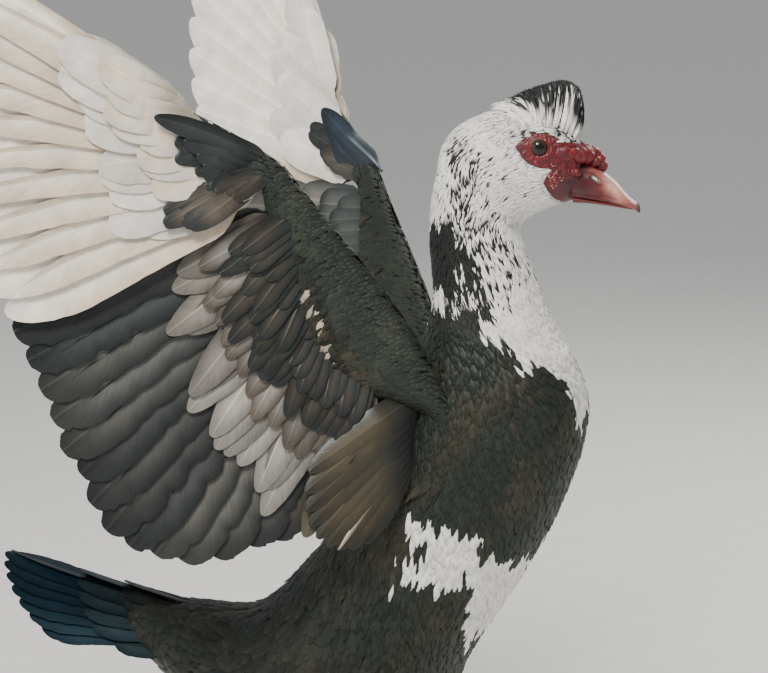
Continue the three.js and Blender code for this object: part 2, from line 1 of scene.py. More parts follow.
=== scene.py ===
# %% [markdown]
# # A muscovy duck with raised wings
# The duck arrives as plain solids at their real size. Each step below dresses a part of it: a skin,
# then thousands of small feathers that follow the skin, then the long feathers of wings and tail, and
# last the bare face, the bill, the eyes and the feet. Every surface is a function of two parameters.

import bpy
import numpy as np
from mathutils.kdtree import KDTree
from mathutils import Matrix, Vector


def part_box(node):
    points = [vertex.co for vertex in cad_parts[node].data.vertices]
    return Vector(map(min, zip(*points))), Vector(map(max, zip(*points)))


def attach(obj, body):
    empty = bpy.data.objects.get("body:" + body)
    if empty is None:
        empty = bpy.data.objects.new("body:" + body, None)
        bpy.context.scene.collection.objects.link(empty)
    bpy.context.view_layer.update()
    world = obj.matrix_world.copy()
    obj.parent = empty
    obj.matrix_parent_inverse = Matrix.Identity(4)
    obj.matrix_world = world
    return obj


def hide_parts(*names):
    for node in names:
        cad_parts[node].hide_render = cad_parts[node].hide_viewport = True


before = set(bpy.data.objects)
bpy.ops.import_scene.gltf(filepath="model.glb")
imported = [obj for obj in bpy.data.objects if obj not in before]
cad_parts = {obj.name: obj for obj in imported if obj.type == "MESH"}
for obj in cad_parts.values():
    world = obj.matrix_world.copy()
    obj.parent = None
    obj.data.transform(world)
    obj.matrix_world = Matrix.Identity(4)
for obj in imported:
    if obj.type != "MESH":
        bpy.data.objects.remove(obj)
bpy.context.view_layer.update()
rng = np.random.default_rng(12)

# %% [markdown]
# The sizes of the body are stations along its middle line, as on a boat builder's plan: where the
# centre is, how deep and wide the body is there, and how far the back leans. They are in millimetres,
# the same as in the solids, so that skin and feathers sit where the solids are.

# %% Body stations
TAIL_END, HEAD_END = 0.0, 24.0
HEAD_TURN, NECK_X, NECK_Z = np.radians(20), 79.5, 494.0
TURN_FROM, TURN_TO = 425.0, 515.0
SIDES = ((-1, "right"), (1, "left"))
# each station: x and z of the centre, half depth, half width, lean of the back in degrees
BODY = np.array([
    [-209, 175, 17, 24, -17], [-174, 163, 31, 37, -20], [-134, 147, 47, 50, -13],
    [-100, 137, 64, 61, -3], [-60, 143, 85, 70, 4], [-19, 167, 97, 76, 10],
    [12, 208, 94, 78, 15], [39, 255, 90, 77, 20], [66, 301, 85, 73, 31],
    [89, 348, 79, 66, 47], [101, 386, 71, 56, 65], [98, 414, 59, 46, 73],
    [90, 439, 48, 38, 76], [83, 463, 41.5, 33, 80], [77.5, 485, 37, 30.5, 81],
    [76, 504, 35, 29, 75], [80, 519.5, 37.5, 28, 63], [86, 532.5, 43, 27, 55],
    [95, 541, 45.5, 26.5, 48], [107.5, 547.5, 44, 26, 38], [121, 551, 41, 25.5, 27],
    [132.5, 552, 38.5, 24.5, 17], [142, 550.5, 34.5, 22, 7], [149, 546, 29, 18.5, -1],
    [153.5, 538, 21, 15, -7],
])


def smooth(x, low=0.0, high=1.0):
    """Eases from 0 to 1 as x goes from low to high: three t squared less two t cubed."""
    t = np.clip((np.asarray(x, float) - low) / (high - low), 0, 1)
    return t * t * (3 - 2 * t)


def mixed(a, b, share):
    """Colour a where the share is 0 and colour b where it is 1."""
    share = np.asarray(share)[..., None]
    return a * (1 - share) + b * share


def fuller(x, power):
    """x to a power, its sign kept: on sines and cosines a power below 1 makes an oval fuller."""
    return np.sign(x) * np.abs(x) ** power


def along_rows(rows, at):
    """Reads rows of numbers at any row position, on the smooth curve that passes through each row."""
    rows = np.asarray(rows, float)
    i = np.clip(np.floor(at).astype(int), 0, len(rows) - 2)
    t = (at - i)[..., None]
    a, b, c, d = (rows[np.clip(i + k, 0, len(rows) - 1)] for k in (-1, 0, 1, 2))
    return b + 0.5 * t * (c - a + t * (2 * a - 5 * b + 4 * c - d + t * (3 * (b - c) + d - a)))


def turned(p, height):
    """Turns points to the left about the neck, by a share that grows with height."""
    angle = HEAD_TURN * smooth(height, TURN_FROM, TURN_TO)
    x, y = p[..., 0] - NECK_X, p[..., 1]
    c, s = np.cos(angle), np.sin(angle)
    return np.stack([NECK_X + x * c - y * s, x * s + y * c, p[..., 2]], -1)


def body(u, v, out=0.0):
    """A point of the body: station u, and angle v round it, from 0 on the back to pi below.

    Each ring is an oval. Its depth runs along the leaning back and its width across the body."""
    u, v = np.broadcast_arrays(np.asarray(u, float), v)
    x, z, deep, wide, lean = np.moveaxis(along_rows(BODY, u), -1, 0)
    lean = np.radians(lean)
    up, side = (deep + out) * fuller(np.cos(v), 0.93), (wide + out) * fuller(np.sin(v), 0.93)
    point = np.stack([x - up * np.sin(lean), side, z + up * np.cos(lean)], -1)
    return turned(point, np.where(u > 15, np.maximum(z, TURN_TO), z))


def on_head(x, y, z):
    """A point in the turned head, x ahead of the neck's middle line, y to the left and z above it."""
    return turned(np.stack(np.broadcast_arrays(NECK_X + x, y, NECK_Z + z), -1) * 1.0, TURN_TO)


def head_way(x, y, z):
    """A direction in the turned head."""
    return on_head(x, y, z) - on_head(0, 0, 0)


EYE = {"x": 45.0, "y": 20.6, "z": 65.0}
SHIFT = np.mean(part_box("eye_right"), axis=0) * 1000 - on_head(EYE["x"], -EYE["y"], EYE["z"])
print("the frame's origin lies", np.round(-SHIFT, 2), "mm from the body stations' own")

# %% [markdown]
# The camera is set as the photo was taken: from the duck's right, 25 degrees towards its front and 8
# degrees above it, from 3.5 m away. Knowing the camera also lets markings be described by where they
# lie in the picture, such as the edge of the white breast, and then be laid on both sides of the bird.

# %% Camera
VIEW_SIDE, VIEW_RISE, VIEW_FAR = np.radians(25), np.radians(8), 3500.0
PIXEL, WIDTH, HEIGHT, SENSOR = 0.76, 768, 673, 36
AIM = np.array([0, 0, 409.0])
LEVEL = np.cos(VIEW_RISE)
LOOK = np.array([-np.sin(VIEW_SIDE) * LEVEL, np.cos(VIEW_SIDE) * LEVEL, -np.sin(VIEW_RISE)])
ACROSS = np.array([np.cos(VIEW_SIDE), np.sin(VIEW_SIDE), 0])
ABOVE = np.cross(ACROSS, LOOK)
EYEPOINT = AIM - LOOK * VIEW_FAR


def stand(obj, right, up, back, at):
    """Places a camera or a lamp by its own three axes and its place in metres."""
    axes = np.eye(4)
    axes[:3] = np.column_stack([right, up, back, at])
    obj.matrix_world = axes.T.tolist()
    bpy.context.collection.objects.link(obj)


camera_data = bpy.data.cameras.new("camera")
camera_data.sensor_width, camera_data.lens = SENSOR, VIEW_FAR / PIXEL / WIDTH * SENSOR
camera_data.clip_end = 200
camera = bpy.data.objects.new("camera", camera_data)
stand(camera, ACROSS, ABOVE, -LOOK, (EYEPOINT + SHIFT) * 0.001)
bpy.context.scene.camera = camera
print("lens", round(camera_data.lens, 1), "mm")


def in_picture(p):
    """Where a point shows in the picture, in pixels from the top left."""
    q = np.asarray(p) - EYEPOINT
    reach = VIEW_FAR / PIXEL / (q @ LOOK)
    return np.stack([WIDTH / 2 + reach * (q @ ACROSS), HEIGHT / 2 - reach * (q @ ABOVE)], -1)


def shown_at(u, v):
    """Where a body point shows in the picture, or its twin on the right side where it is on the left."""
    v = np.mod(v, 2 * np.pi)
    return in_picture(body(u, np.where(v > np.pi, v, 2 * np.pi - v)))


# %% [markdown]
# Plain soft studio light: a big key panel above and in front, a fill from the camera's side, and a
# rim panel behind that separates dark feathers from each other.

# %% Light
def panel(name, at, aim_height, size, power, colour):
    """A round lamp that faces the duck's middle line at a height."""
    light = bpy.data.lights.new(name, "AREA")
    light.shape = "DISK"
    light.size, light.energy, light.color = size, power, colour
    back = np.array(at) - [0, 0, aim_height]
    back /= np.linalg.norm(back)
    right = np.cross([0, 0, 1], back)
    right /= np.linalg.norm(right)
    stand(bpy.data.objects.new(name, light), right, np.cross(back, right), back, at)


panel("key", (0.2, -2.0, 2.5), 0.4, 1.1, 100, (1.0, 0.97, 0.92))
panel("fill", (-1.8, -2.2, 1.0), 0.4, 2.2, 15, (0.93, 0.96, 1.0))
panel("rim", (0.6, 2.2, 1.9), 0.5, 1.4, 45, (1.0, 0.98, 0.94))
world = bpy.data.worlds.new("studio")
world.use_nodes = True
sky = world.node_tree.nodes["Background"].inputs
sky["Color"].default_value, sky["Strength"].default_value = (0.93, 0.94, 0.96, 1), 0.46
bpy.context.scene.world = world


# %% [markdown]
# One helper turns arrays into a mesh object. It takes points in millimetres, faces, and whatever each
# point carries: a colour, a place along and across its feather, and a place on the bake map. Each
# finish is a set of nodes that reads those, so that a pattern follows its own feather.

# %% Mesh helper
def make(name, points, faces, finish, nodes=(), colour=None, vane=None, bake=None, rim=None):
    """A mesh object from points and lists of equal-sided faces, placed in the row's frame.

    Edges between points with the same rim number above 0 are sharp: the rims of the feathers."""
    mesh = bpy.data.meshes.new(name)
    points = (np.asarray(points, float) + SHIFT) * 0.001
    corners = np.concatenate([np.asarray(f).ravel() for f in faces])
    sides = np.concatenate([np.full(len(f), np.asarray(f).shape[1]) for f in faces])
    mesh.vertices.add(len(points))
    mesh.vertices.foreach_set("co", points.ravel())
    mesh.loops.add(len(corners))
    mesh.loops.foreach_set("vertex_index", corners.astype(np.int32))
    mesh.polygons.add(len(sides))
    mesh.polygons.foreach_set("loop_start", (np.cumsum(sides) - sides).astype(np.int32))
    mesh.polygons.foreach_set("use_smooth", np.ones(len(sides), bool))
    mesh.update(calc_edges=True)
    for label, values in (("Vane", vane), ("OFBake", bake)):
        if values is not None:
            layer = mesh.uv_layers.new(name=label)
            layer.data.foreach_set("uv", np.asarray(values, np.float32)[corners].ravel())
    if colour is not None:
        shade = mesh.color_attributes.new("tint", "FLOAT_COLOR", "POINT")
        full = np.concatenate([colour, np.ones((len(colour), 1))], 1)
        shade.data.foreach_set("color", full.astype(np.float32).ravel())
    if rim is not None:
        ends = np.empty(2 * len(mesh.edges), np.int32)
        mesh.edges.foreach_get("vertices", ends)
        a, b = rim[ends.reshape(-1, 2)].T
        mesh.attributes.new("sharp_edge", "BOOLEAN", "EDGE").data.foreach_set("value", (a == b) & (a > 0))
    mesh.validate()
    mesh.materials.append(finish)
    obj = bpy.data.objects.new(name, mesh)
    bpy.context.collection.objects.link(obj)
    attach(obj, "root")
    if nodes:
        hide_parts(*nodes)
    print(f"{name}: {int((sides - 2).sum())} triangles")
    return obj


# %% Finish helper
class Finish:
    """A material under construction: nodes are added by kind and joined by name."""

    def __init__(self, name, **shader):
        self.material = bpy.data.materials.new(name)
        self.material.use_nodes = True
        self.tree = self.material.node_tree
        self.shader = self.tree.nodes["Principled BSDF"]
        for key, value in shader.items():
            self.shader.inputs[key.replace("_", " ")].default_value = value

    def add(self, kind, inputs=(), **settings):
        node = self.tree.nodes.new("ShaderNode" + kind)
        for key, value in settings.items():
            setattr(node, key, value)
        for key, value in dict(inputs).items():
            if isinstance(value, bpy.types.NodeSocket):
                self.tree.links.new(value, node.inputs[key])
            else:
                node.inputs[key].default_value = value
        return node

    def math(self, operation, *values):
        return self.add("Math", dict(enumerate(values)), operation=operation).outputs[0]

    def noise(self, scale, detail=3.0, vector=None, rough=0.55):
        vector = vector or self.add("TexCoord").outputs["Object"]
        inputs = {"Scale": scale, "Detail": detail, "Roughness": rough, "Vector": vector}
        return self.add("TexNoise", inputs).outputs["Fac"]

    def spread(self, value, low, high, out_low=0.0, out_high=1.0):
        inputs = {"Value": value, "From Min": low, "From Max": high, "To Min": out_low, "To Max": out_high}
        return self.add("MapRange", inputs).outputs["Result"]

    def done(self, colour, bump=None, strength=0.5, depth=0.0005):
        """Joins a colour and a height to the shader, and gives the finished material."""
        self.tree.links.new(colour, self.shader.inputs["Base Color"])
        if bump is not None:
            inputs = {"Height": bump, "Strength": strength, "Distance": depth}
            self.tree.links.new(self.add("Bump", inputs).outputs[0], self.shader.inputs["Normal"])
        return self.material

    def dyed(self, factor, bump=None, strength=0.5, depth=0.0005):
        """Colours a piece by each point's own tint times a factor that is near 1."""
        tint = self.add("Attribute", attribute_name="tint").outputs["Color"]
        scaled = self.add("VectorMath", {0: tint, "Scale": factor}, operation="SCALE").outputs[0]
        return self.done(scaled, bump, strength, depth)

    def grained(self, scale, low, high, strength, depth):
        """The tint, made darker and lighter by a fine grain that also stands up from the surface."""
        grain = self.noise(scale, 3)
        bump = grain if strength else None
        return self.dyed(self.spread(grain, 0.3, 0.7, low, high), bump, strength, depth)

    def two_tone(self, scale, dark, light, depth):
        """Two colours mingled by a fine grain."""
        grain = self.noise(scale, 4)
        inputs = {0: self.spread(grain, 0.3, 0.7), 6: (*dark, 1), 7: (*light, 1)}
        return self.done(self.add("Mix", inputs, data_type="RGBA").outputs[2], grain, 0.2, depth)


# %% [markdown]
# The floor is one wide, pale, painted sheet under the feet.

# %% Floor
FLOOR_HALF = 60
floor_mesh = bpy.data.meshes.new("floor")
floor_corners = [(x * FLOOR_HALF, y * FLOOR_HALF, 0) for x, y in ((-1, -1), (1, -1), (1, 1), (-1, 1))]
floor_mesh.from_pydata(floor_corners, [], [(0, 1, 2, 3)])
floor = bpy.data.objects.new("floor", floor_mesh)
bpy.context.collection.objects.link(floor)
paint = Finish("floor_paint", Roughness=0.85)
floor_mesh.materials.append(paint.two_tone(35, (0.78, 0.77, 0.75), (0.82, 0.81, 0.79), 0.0005))

# %% [markdown]
# A wing's flesh is an arm and a hand. Each is carried along the line of its bone: an oval that reaches
# a little before the bone and more behind it. The way to the rear edge and the upper face come from
# the two ends of the fan of long feathers, so that flesh and feathers lie in one plane.

# %% Wings: bones and flesh
# rows along a bone: how far the flesh reaches before it and behind it, and half its thickness
ARM = [[8, 16, 15], [13, 46, 13], [15, 64, 10], [13, 56, 8], [10, 36, 7], [8, 16, 6.5]]
HAND = [[8, 16, 6.5], [8, 17, 5.5], [7, 13, 4.5], [4.5, 8, 3.5], [2, 3, 2]]
# each fan lists how far its feathers rise and how far they point outwards, in degrees
WINGS = {
    "right": {
        "side": -1, "shoulder": (70, 52, 372), "wrist": (-35, 112, 543), "tip": (-97, 165, 597),
        "outermost": 0.88, "dip": 7, "spread": 1.0,
        "arm_fan": [[-69, 20], [-63, 28], [-50, 34], [-36, 36], [-21, 37]],
        "hand_fan": [[-25, 38], [-6, 40], [16, 41], [36, 41]],
        "alula": {"share": 0.03, "rear": -5, "rise": 31, "out": 33, "long": 100, "off": -21, "wide": 16},
    },
    "left": {
        "side": 1, "shoulder": (28, 48, 368), "wrist": (-54, 92, 523), "tip": (-123, 140, 584),
        "outermost": 0.9, "dip": 2, "spread": 0.9,
        "arm_fan": [[-56, 18], [-48, 21], [-32, 23], [-15, 24], [4, 25]],
        "hand_fan": [[11, 28], [29, 24], [42, 40], [54, 53]],
        "alula": {"share": -0.08, "rear": -9, "rise": 37, "out": 26, "long": 76, "off": 11, "wide": 19},
    },
}
ARM_TILT, HAND_TILT = 6.5, 7


def unit(v):
    v = np.asarray(v, float)
    return v / np.linalg.norm(v, axis=-1, keepdims=True)


def fanned(rise, out, side):
    """A direction that rises by one angle, and points back and outward by the other."""
    rise, out = np.radians(rise), np.radians(out)
    return np.stack([-np.cos(rise) * np.cos(out), side * np.cos(rise) * np.sin(out), np.sin(rise)], -1)


def limb(start, end, fan, side, tilt):
    """The line of a bone, its rear, its upper face, and the tilted plane of its long feathers."""
    line = end - start
    bone = unit(line)
    face = -side * np.cross(fanned(*fan[0], side), fanned(*fan[-1], side))
    face = unit(face - bone * (face @ bone))
    tilt = np.radians(tilt)
    return {"start": start, "line": line, "bone": bone, "face": face, "side": side,
            "rear": side * np.cross(face, bone), "up": face * np.cos(tilt) - bone * np.sin(tilt)}


def flesh(part, rows, u, v, out=0.0):
    """A point of a limb: share u of the bone, and angle v round it from the rear edge."""
    u, v = np.broadcast_arrays(np.asarray(u, float), v)
    front, behind, thick = np.moveaxis(along_rows(rows, u * (len(rows) - 1)), -1, 0)
    angle = -part["side"] * v
    half = np.maximum(behind + front, 1) / 2
    rear = (behind - front) / 2 + (half + out) * fuller(np.cos(angle), 0.9)
    face = (np.maximum(thick, 0.5) + out) * fuller(np.sin(angle), 0.9)
    point = part["start"] + u[..., None] * part["line"]
    return point + rear[..., None] * part["rear"] + face[..., None] * part["face"]


for name, wing in WINGS.items():
    shoulder, wrist, tip = (wing[k] * np.array([1.0, wing["side"], 1]) for k in ("shoulder", "wrist", "tip"))
    wing["arm"] = limb(shoulder, wrist, wing["arm_fan"], wing["side"], ARM_TILT)
    wing["hand"] = limb(wrist, tip, wing["hand_fan"], wing["side"], HAND_TILT)
    print(name, "arm and hand", [round(float(np.linalg.norm(wing[k]["line"]))) for k in ("arm", "hand")], "mm")

# %% [markdown]
# Legs follow stations too: where the leg's middle is, how long and how wide it is there.

# %% Legs: stations
FOOT_X, FOOT_Y = -6.0, 54.5
# each station: x, y and z of the middle, half length, half width
THIGH = [[26, 24, 190, 20, 14], [22, 34, 168, 34, 26], [10, 46, 128, 33, 25], [-6, 50, 98, 24, 18],
         [-20, 52, 76, 14, 11.5], [-26, 53, 62, 8.5, 7.5]]
SHANK = [[-26, 53, 62, 8.5, 7.5], [-22, 53.4, 50, 6.4, 5.2], [-16, 54, 32, 6, 5], [-10, 54.4, 17.5, 7.4, 6.4]]
ANKLE = [SHANK[-1], [-6.2, 54.5, 9, 8.8, 7.6], [-5.2, 54.5, 4, 8.6, 7.8], [-6, 54.5, 0.4, 7.0, 7.0]]


def leg(side, rows, u, v, out=0.0):
    """A point of a leg: row position u and angle v round it from its front."""
    u, v = np.broadcast_arrays(np.asarray(u, float), v)
    x, y, z, long, wide = np.moveaxis(along_rows(rows, u), -1, 0)
    a, b = (long + out) * np.cos(v), (wide + out) * np.sin(side * v)
    return np.stack([x + a * 0.93, side * y + b, z + a * 0.36], -1)


# %% [markdown]
# The skin is one closed surface under all feathers: body, wings and thighs run into each other with
# no seam. Each is first a closed tube on its own. A voxel remesh then melts the tubes into one, as
# clay would, and a smoothing pass takes out the voxel steps. It lies inside the solids by the depth
# of the feathers.

# %% Tubes
def ring_quads(rings, m):
    """Faces between neighbouring closed rings of m points."""
    i, j = np.meshgrid(np.arange(rings - 1), np.arange(m), indexing="ij")
    a, b = i * m + j, i * m + (j + 1) % m
    return np.stack([a, b, b + m, a + m], -1).reshape(-1, 4)


def tube(surface, us, m):
    """Points and faces of a closed tube: rings of a surface, with a point in the middle of each end."""
    rings = surface(np.asarray(us)[:, None], np.arange(m)[None, :] * 2 * np.pi / m)
    r, j = len(us), np.arange(m)
    first = np.stack([np.full(m, r * m), (j + 1) % m, j], -1)
    last = np.stack([np.full(m, r * m + 1), (r - 1) * m + j, (r - 1) * m + (j + 1) % m], -1)
    points = np.concatenate([rings.reshape(-1, 3), rings[0].mean(0)[None], rings[-1].mean(0)[None]])
    return points, ring_quads(r, m), np.concatenate([first, last])


def outward(parts):
    """Turns a tube's faces round where its volume comes out below zero."""
    p, q, t = parts
    tri = np.concatenate([q[:, [0, 1, 2]], q[:, [0, 2, 3]], t])
    a, b, c = (p[tri[:, k]] - p.mean(0) for k in range(3))
    return parts if (np.cross(a, b) * c).sum() > 0 else (p, q[:, ::-1], t[:, ::-1])


def joined(tubes):
    """Several tubes as one list of points and faces."""
    bases = np.cumsum([0] + [len(p) for p, _, _ in tubes])
    return (np.concatenate([p for p, _, _ in tubes]),
            np.concatenate([q + base for (_, q, _), base in zip(tubes, bases)]),
            np.concatenate([t + base for (_, _, t), base in zip(tubes, bases)]))


# %% Skin
VOXEL = 0.0024


def skin_depth(u):
    """How deep the skin lies under the feathers' surface: most on the body, least on the face."""
    return 3.4 - 1.9 * smooth(u, 9, 16) - 0.5 * smooth(u, 19, 22)


def body_skin(u, v):
    return body(u, v, -skin_depth(u))


tubes = [tube(body_skin, np.linspace(TAIL_END, HEAD_END, 110), 64)]
for wing in WINGS.values():
    tubes.append(tube(lambda u, v: flesh(wing["arm"], ARM, u, v, -1.6), np.linspace(-0.2, 1, 40), 28))
    tubes.append(tube(lambda u, v: flesh(wing["hand"], HAND, u, v, -0.8), np.linspace(-0.06, 1.0, 24), 20))
for side, _ in SIDES:
    tubes.append(tube(lambda u, v: leg(side, THIGH, u, v, -2.2), np.linspace(0, 4.8, 28), 28))
points, quads, tris = joined(tubes)

skin_finish = Finish("skin_under_feathers", Roughness=0.7, Subsurface_Weight=0.05).grained(900, 0.85, 1.15, 0.3, 0.0003)
rough_skin = make("skin_rough", points, [quads, tris], skin_finish)
melt = rough_skin.modifiers.new("melt", "REMESH")
melt.mode, melt.voxel_size = "VOXEL", VOXEL
ease = rough_skin.modifiers.new("ease", "SMOOTH")
ease.factor, ease.iterations = 0.5, 5
bpy.context.view_layer.update()
melted = bpy.data.meshes.new_from_object(rough_skin.evaluated_get(bpy.context.evaluated_depsgraph_get()))
bpy.data.objects.remove(rough_skin)
co = np.empty(3 * len(melted.vertices), np.float32)
melted.vertices.foreach_get("co", co)
skin_points = co.reshape(-1, 3) * 1000.0 - SHIFT
skin_faces = [np.array([p.vertices for p in melted.polygons if len(p.vertices) == 4])]
print("skin", len(skin_points), "points")

# %% [markdown]
# Markings are edges drawn in the picture's own pixels and read from either side of the bird, which
# is coloured alike on both. A point's distance to such an edge, with a random share for every
# feather, decides between a white and a black feather, so that the two mix along the edge.

# %% Markings: edges
BLACK_BODY = np.array([
    [395, 300], [430, 298], [450, 301], [474, 298], [486, 302], [479, 312], [478, 322], [487, 329], [505, 345],
    [509, 356], [524, 356], [540, 353], [552, 362], [556, 371], [562, 384], [575, 398], [586, 411], [594, 420],
    [640, 420], [640, 900], [0, 900], [0, 300],
])
BLACK_NAPE = np.array([
    [436, 214], [446, 212], [452, 218], [459, 232], [466, 236], [470, 246], [476, 256], [478, 270], [484, 280],
    [480, 294], [460, 296], [446, 293], [440, 284], [430, 272], [420, 256], [418, 236], [420, 218],
])
WHITE_BELLY = np.array([
    [418, 500], [432, 507], [451, 513], [473, 525], [484, 523], [480, 543], [500, 549], [520, 555], [536, 547],
    [548, 540], [566, 545], [540, 573], [520, 603], [490, 640], [478, 634], [473, 617], [473, 594], [484, 582],
    [475, 570], [459, 574], [426, 572], [402, 562], [398, 555], [410, 543], [424, 533], [416, 506],
])


def inside(xy, corners):
    """How deep a picture point lies inside an outline, in pixels: below 0 outside it."""
    a, b = corners, np.roll(corners, -1, 0)
    p, d = xy[..., None, :] - a, b - a
    t = np.clip((p * d).sum(-1) / (d * d).sum(-1), 0, 1)
    near = np.linalg.norm(p - t[..., None] * d, axis=-1).min(-1)
    crosses = (a[:, 1] > xy[..., None, 1]) != (b[:, 1] > xy[..., None, 1])
    at = a[:, 0] + (xy[..., None, 1] - a[:, 1]) / np.where(d[:, 1] == 0, 1e-9, d[:, 1]) * d[:, 0]
    odd = (crosses & (xy[..., None, 0] < at)).sum(-1) % 2
    return np.where(odd == 1, near, -near)


def spot(shown, x, y, wide, high, power=2):
    """A soft spot in the picture: e to minus (x over wide to a power) minus (y over high squared)."""
    return np.exp(-((shown[..., 0] - x) / wide) ** power - ((shown[..., 1] - y) / high) ** 2)


def blot(p, size, seed):
    """A smooth random field of about -1 to 1 with patches of a given size: a sum of eight waves."""
    draw = np.random.default_rng(seed)
    ways = unit(draw.normal(size=(8, 3))) * draw.uniform(0.6, 1.6, (8, 1)) * 2 * np.pi / size
    return np.sin(np.asarray(p) @ ways.T + draw.uniform(0, 6.28, 8)).sum(-1) / 3.2


# %% [markdown]
# The head and the upper neck are white with black flecks. Soft spots say where the flecks are dense:
# on the back of the head, down the side of the neck, under the ear, on the cheek and over the eye.
# On the neck they form bars, since there the feathers' black ends show in rows.

# %% Markings: flecks
# each spot: strength, then x, y, half width, half height and power as above
FLECKS = [(1.9, 463, 180, 19, 34), (1.0, 504, 262, 30, 34), (0.42, 504, 172, 26, 28), (0.36, 534, 184, 26, 14),
          (1.15, 548, 133, 30, 6.5, 4)]
NECK_FROM, HEAD_FROM = 8, 9
BARS_FROM, NECK_END, BELLY_FROM, BAR = 235, 345, 480, 13.5


def whiteness(u, v, draw):
    """1 where a body feather is white and 0 where it is dark, for stations u and angles v."""
    shown, at = shown_at(u, v), body(u, v)
    x, y = shown[..., 0], shown[..., 1]
    stray = 4.0 * (draw - 0.5) + 3.0 * blot(at, 16, 3)
    white = inside(shown, BLACK_BODY) < 1.6 * stray * (0.5 + 0.5 * smooth(u, 8, 12))
    nape = inside(shown, BLACK_NAPE) > 1.7 * stray - 1
    nape &= (np.sin(y * 0.62 + 1.5 * blot(at, 30, 6)) < 0.62 + 0.5 * draw) | (x < 449)
    dense = sum(share * spot(shown, *place) for share, *place in FLECKS)
    dense = dense + 1.15 * spot(shown, 478 + (y - 215) * 0.3, 222, 22, 26) + 0.5 * smooth(u, 22, 23.2) * (y < 150)
    bars = 0.5 + 0.5 * np.sin(y / BAR * 2 * np.pi + 2 * blot(at, 40, 5))
    streaked = at * [1, 1, 1.9]
    dense = dense * (0.48 + 0.5 * blot(streaked, 15, 8) + 0.5 * blot(streaked, 6, 9))
    fleck = dense * np.where(y > BARS_FROM, 1.35 * bars, 1.0) > 0.25 + 0.42 * draw
    dark = (u > HEAD_FROM) & (nape | fleck) & (y < NECK_END)
    belly = inside(shown, WHITE_BELLY) > 2.5 * stray
    return np.where(u > NECK_FROM, (white & ~dark) | (belly & (y > BELLY_FROM)), belly).astype(float)


# %% Colours of the body
WHITE, BLACK = np.array([0.84, 0.82, 0.78]), np.array([0.010, 0.0105, 0.0105])
GREEN, BROWN, SHOULDER_SHEEN_TEAL = np.array([0.015, 0.0175, 0.015]), np.array([0.032, 0.026, 0.019]), np.array([0.03, 0.10, 0.08])


def body_tone(u, v, n):
    """The base colour of body feathers: white or dark, the dark ones browner or greener by patches.

    A painted teal sheen shows at the shoulders, and the rear is darker."""
    draw = rng.random(n)
    white = whiteness(u, v, draw)
    at = body(u, v)
    browner = smooth(blot(at, 60, 21) + 0.4 * rng.normal(size=n) + 0.5 * smooth(u, 9, 4) - 0.25, -0.6, 1.6)
    # Painted sheen: a teal gloss is painted into the dark feathers' colour at the shoulders, where the light catches
    # them.
    gloss = 0.6 * spot(shown_at(u, v), 417, 341, 10, 9) * smooth(np.abs(at[:, 1]), 16, 36)
    dark = mixed(mixed(GREEN, BROWN, browner), SHOULDER_SHEEN_TEAL, gloss) * (0.72 + 0.28 * smooth(u, 5, 9.5))[:, None]
    vary = 0.25 + 0.25 * smooth(u, 8.5, 6)[:, None]
    dark = np.where((u > 12)[:, None], BLACK, dark) * (1 + vary * (2 * rng.random((n, 1)) - 1))
    pale = WHITE * (0.93 + 0.1 * rng.random((n, 1)))
    return mixed(dark, pale, white), white[:, None]


# %% [markdown]
# The skin carries the same markings, read at the nearest station and angle of the body. Where the
# wings and thighs leave the body it is plain dark, and dark red round the eyes.

# %% Colours of the skin
GRID_U, GRID_V = 97, 48
grid = np.meshgrid(np.linspace(0, HEAD_END, GRID_U), np.linspace(0, 2 * np.pi, GRID_V, endpoint=False), indexing="ij")
grid_u, grid_v = (g.ravel() for g in grid)
spots = body(grid_u, grid_v)
tree = KDTree(len(spots))
for i, place in enumerate(spots):
    tree.insert(place, i)
tree.balance()
nearest = np.array([tree.find(p)[1] for p in skin_points.tolist()])
skin_tone = body_tone(grid_u, grid_v, len(spots))[0][nearest] * 0.8
off_body = np.linalg.norm(spots[nearest] - skin_points, axis=1) > 12
x, y, z = np.abs(skin_points - [8, 0, 0]).T
skin_tone[off_body | ((x < 48) & (y > 14) & (z < 195))] = GREEN * 0.7
for side, _ in SIDES:
    socket = np.linalg.norm(skin_points - on_head(EYE["x"], side * EYE["y"], EYE["z"]), axis=1) < 14
    skin_tone[socket] = (0.03, 0.008, 0.007)
make("skin", skin_points, skin_faces, skin_finish, colour=skin_tone,
     nodes=["torso", "neck_lower", "neck_upper", "head", "thigh_right", "thigh_left"])

# %% [markdown]
# A small feather is a closed, thin leaf: a few rings along it, with points across each ring over the
# top and under the bottom. It is laid by stepping from its root along the skin's two parameters, so
# that it bends with the body and never cuts into it. Each row covers the roots of the row behind.

# %% Forms of small feathers
class Form:
    """One kind of feather: widths along it, points across it, and the faces that close it."""

    def __init__(self, outline, across):
        rings, m = len(outline), len(across)
        self.q, self.w = np.repeat(np.array(outline, float), m, axis=0).T
        across = np.array([(*point, 0)[:3] for point in across], float)
        self.s, self.t, self.ridge = np.tile(across, (rings, 1)).T
        self.quads = ring_quads(rings, m)
        self.caps = np.stack([np.arange(m)[::-1], (rings - 1) * m + np.arange(m)])
        self.rim = (np.abs(self.s) > 0.99) * (np.tile(np.arange(m), rings) + 1)


SCALE = Form([(0, 0.3), (0.22, 0.82), (0.55, 1), (0.84, 0.86), (1, 0.3)],
             [(-1, 0), (-0.5, 0.8), (0, 1.2), (0.5, 0.8), (1, 0), (0, -0.5)])
WISP = Form([(0, 0.6), (0.35, 1), (0.75, 0.7), (1, 0.12)], [(-1, 0), (0, 1), (1, 0)])
LEAF = Form([(0, 0.4), (0.3, 0.95), (0.7, 0.95), (1, 0.25)], [(-1, 0), (-0.35, 0.9), (0.35, 0.9), (1, 0), (0, -0.5)])
LOCK = Form([(0, 0.5), (0.25, 0.95), (0.5, 1), (0.75, 0.8), (1, 0.15)], [(-1, 0), (0, 1.1), (1, 0), (0, -0.6)])


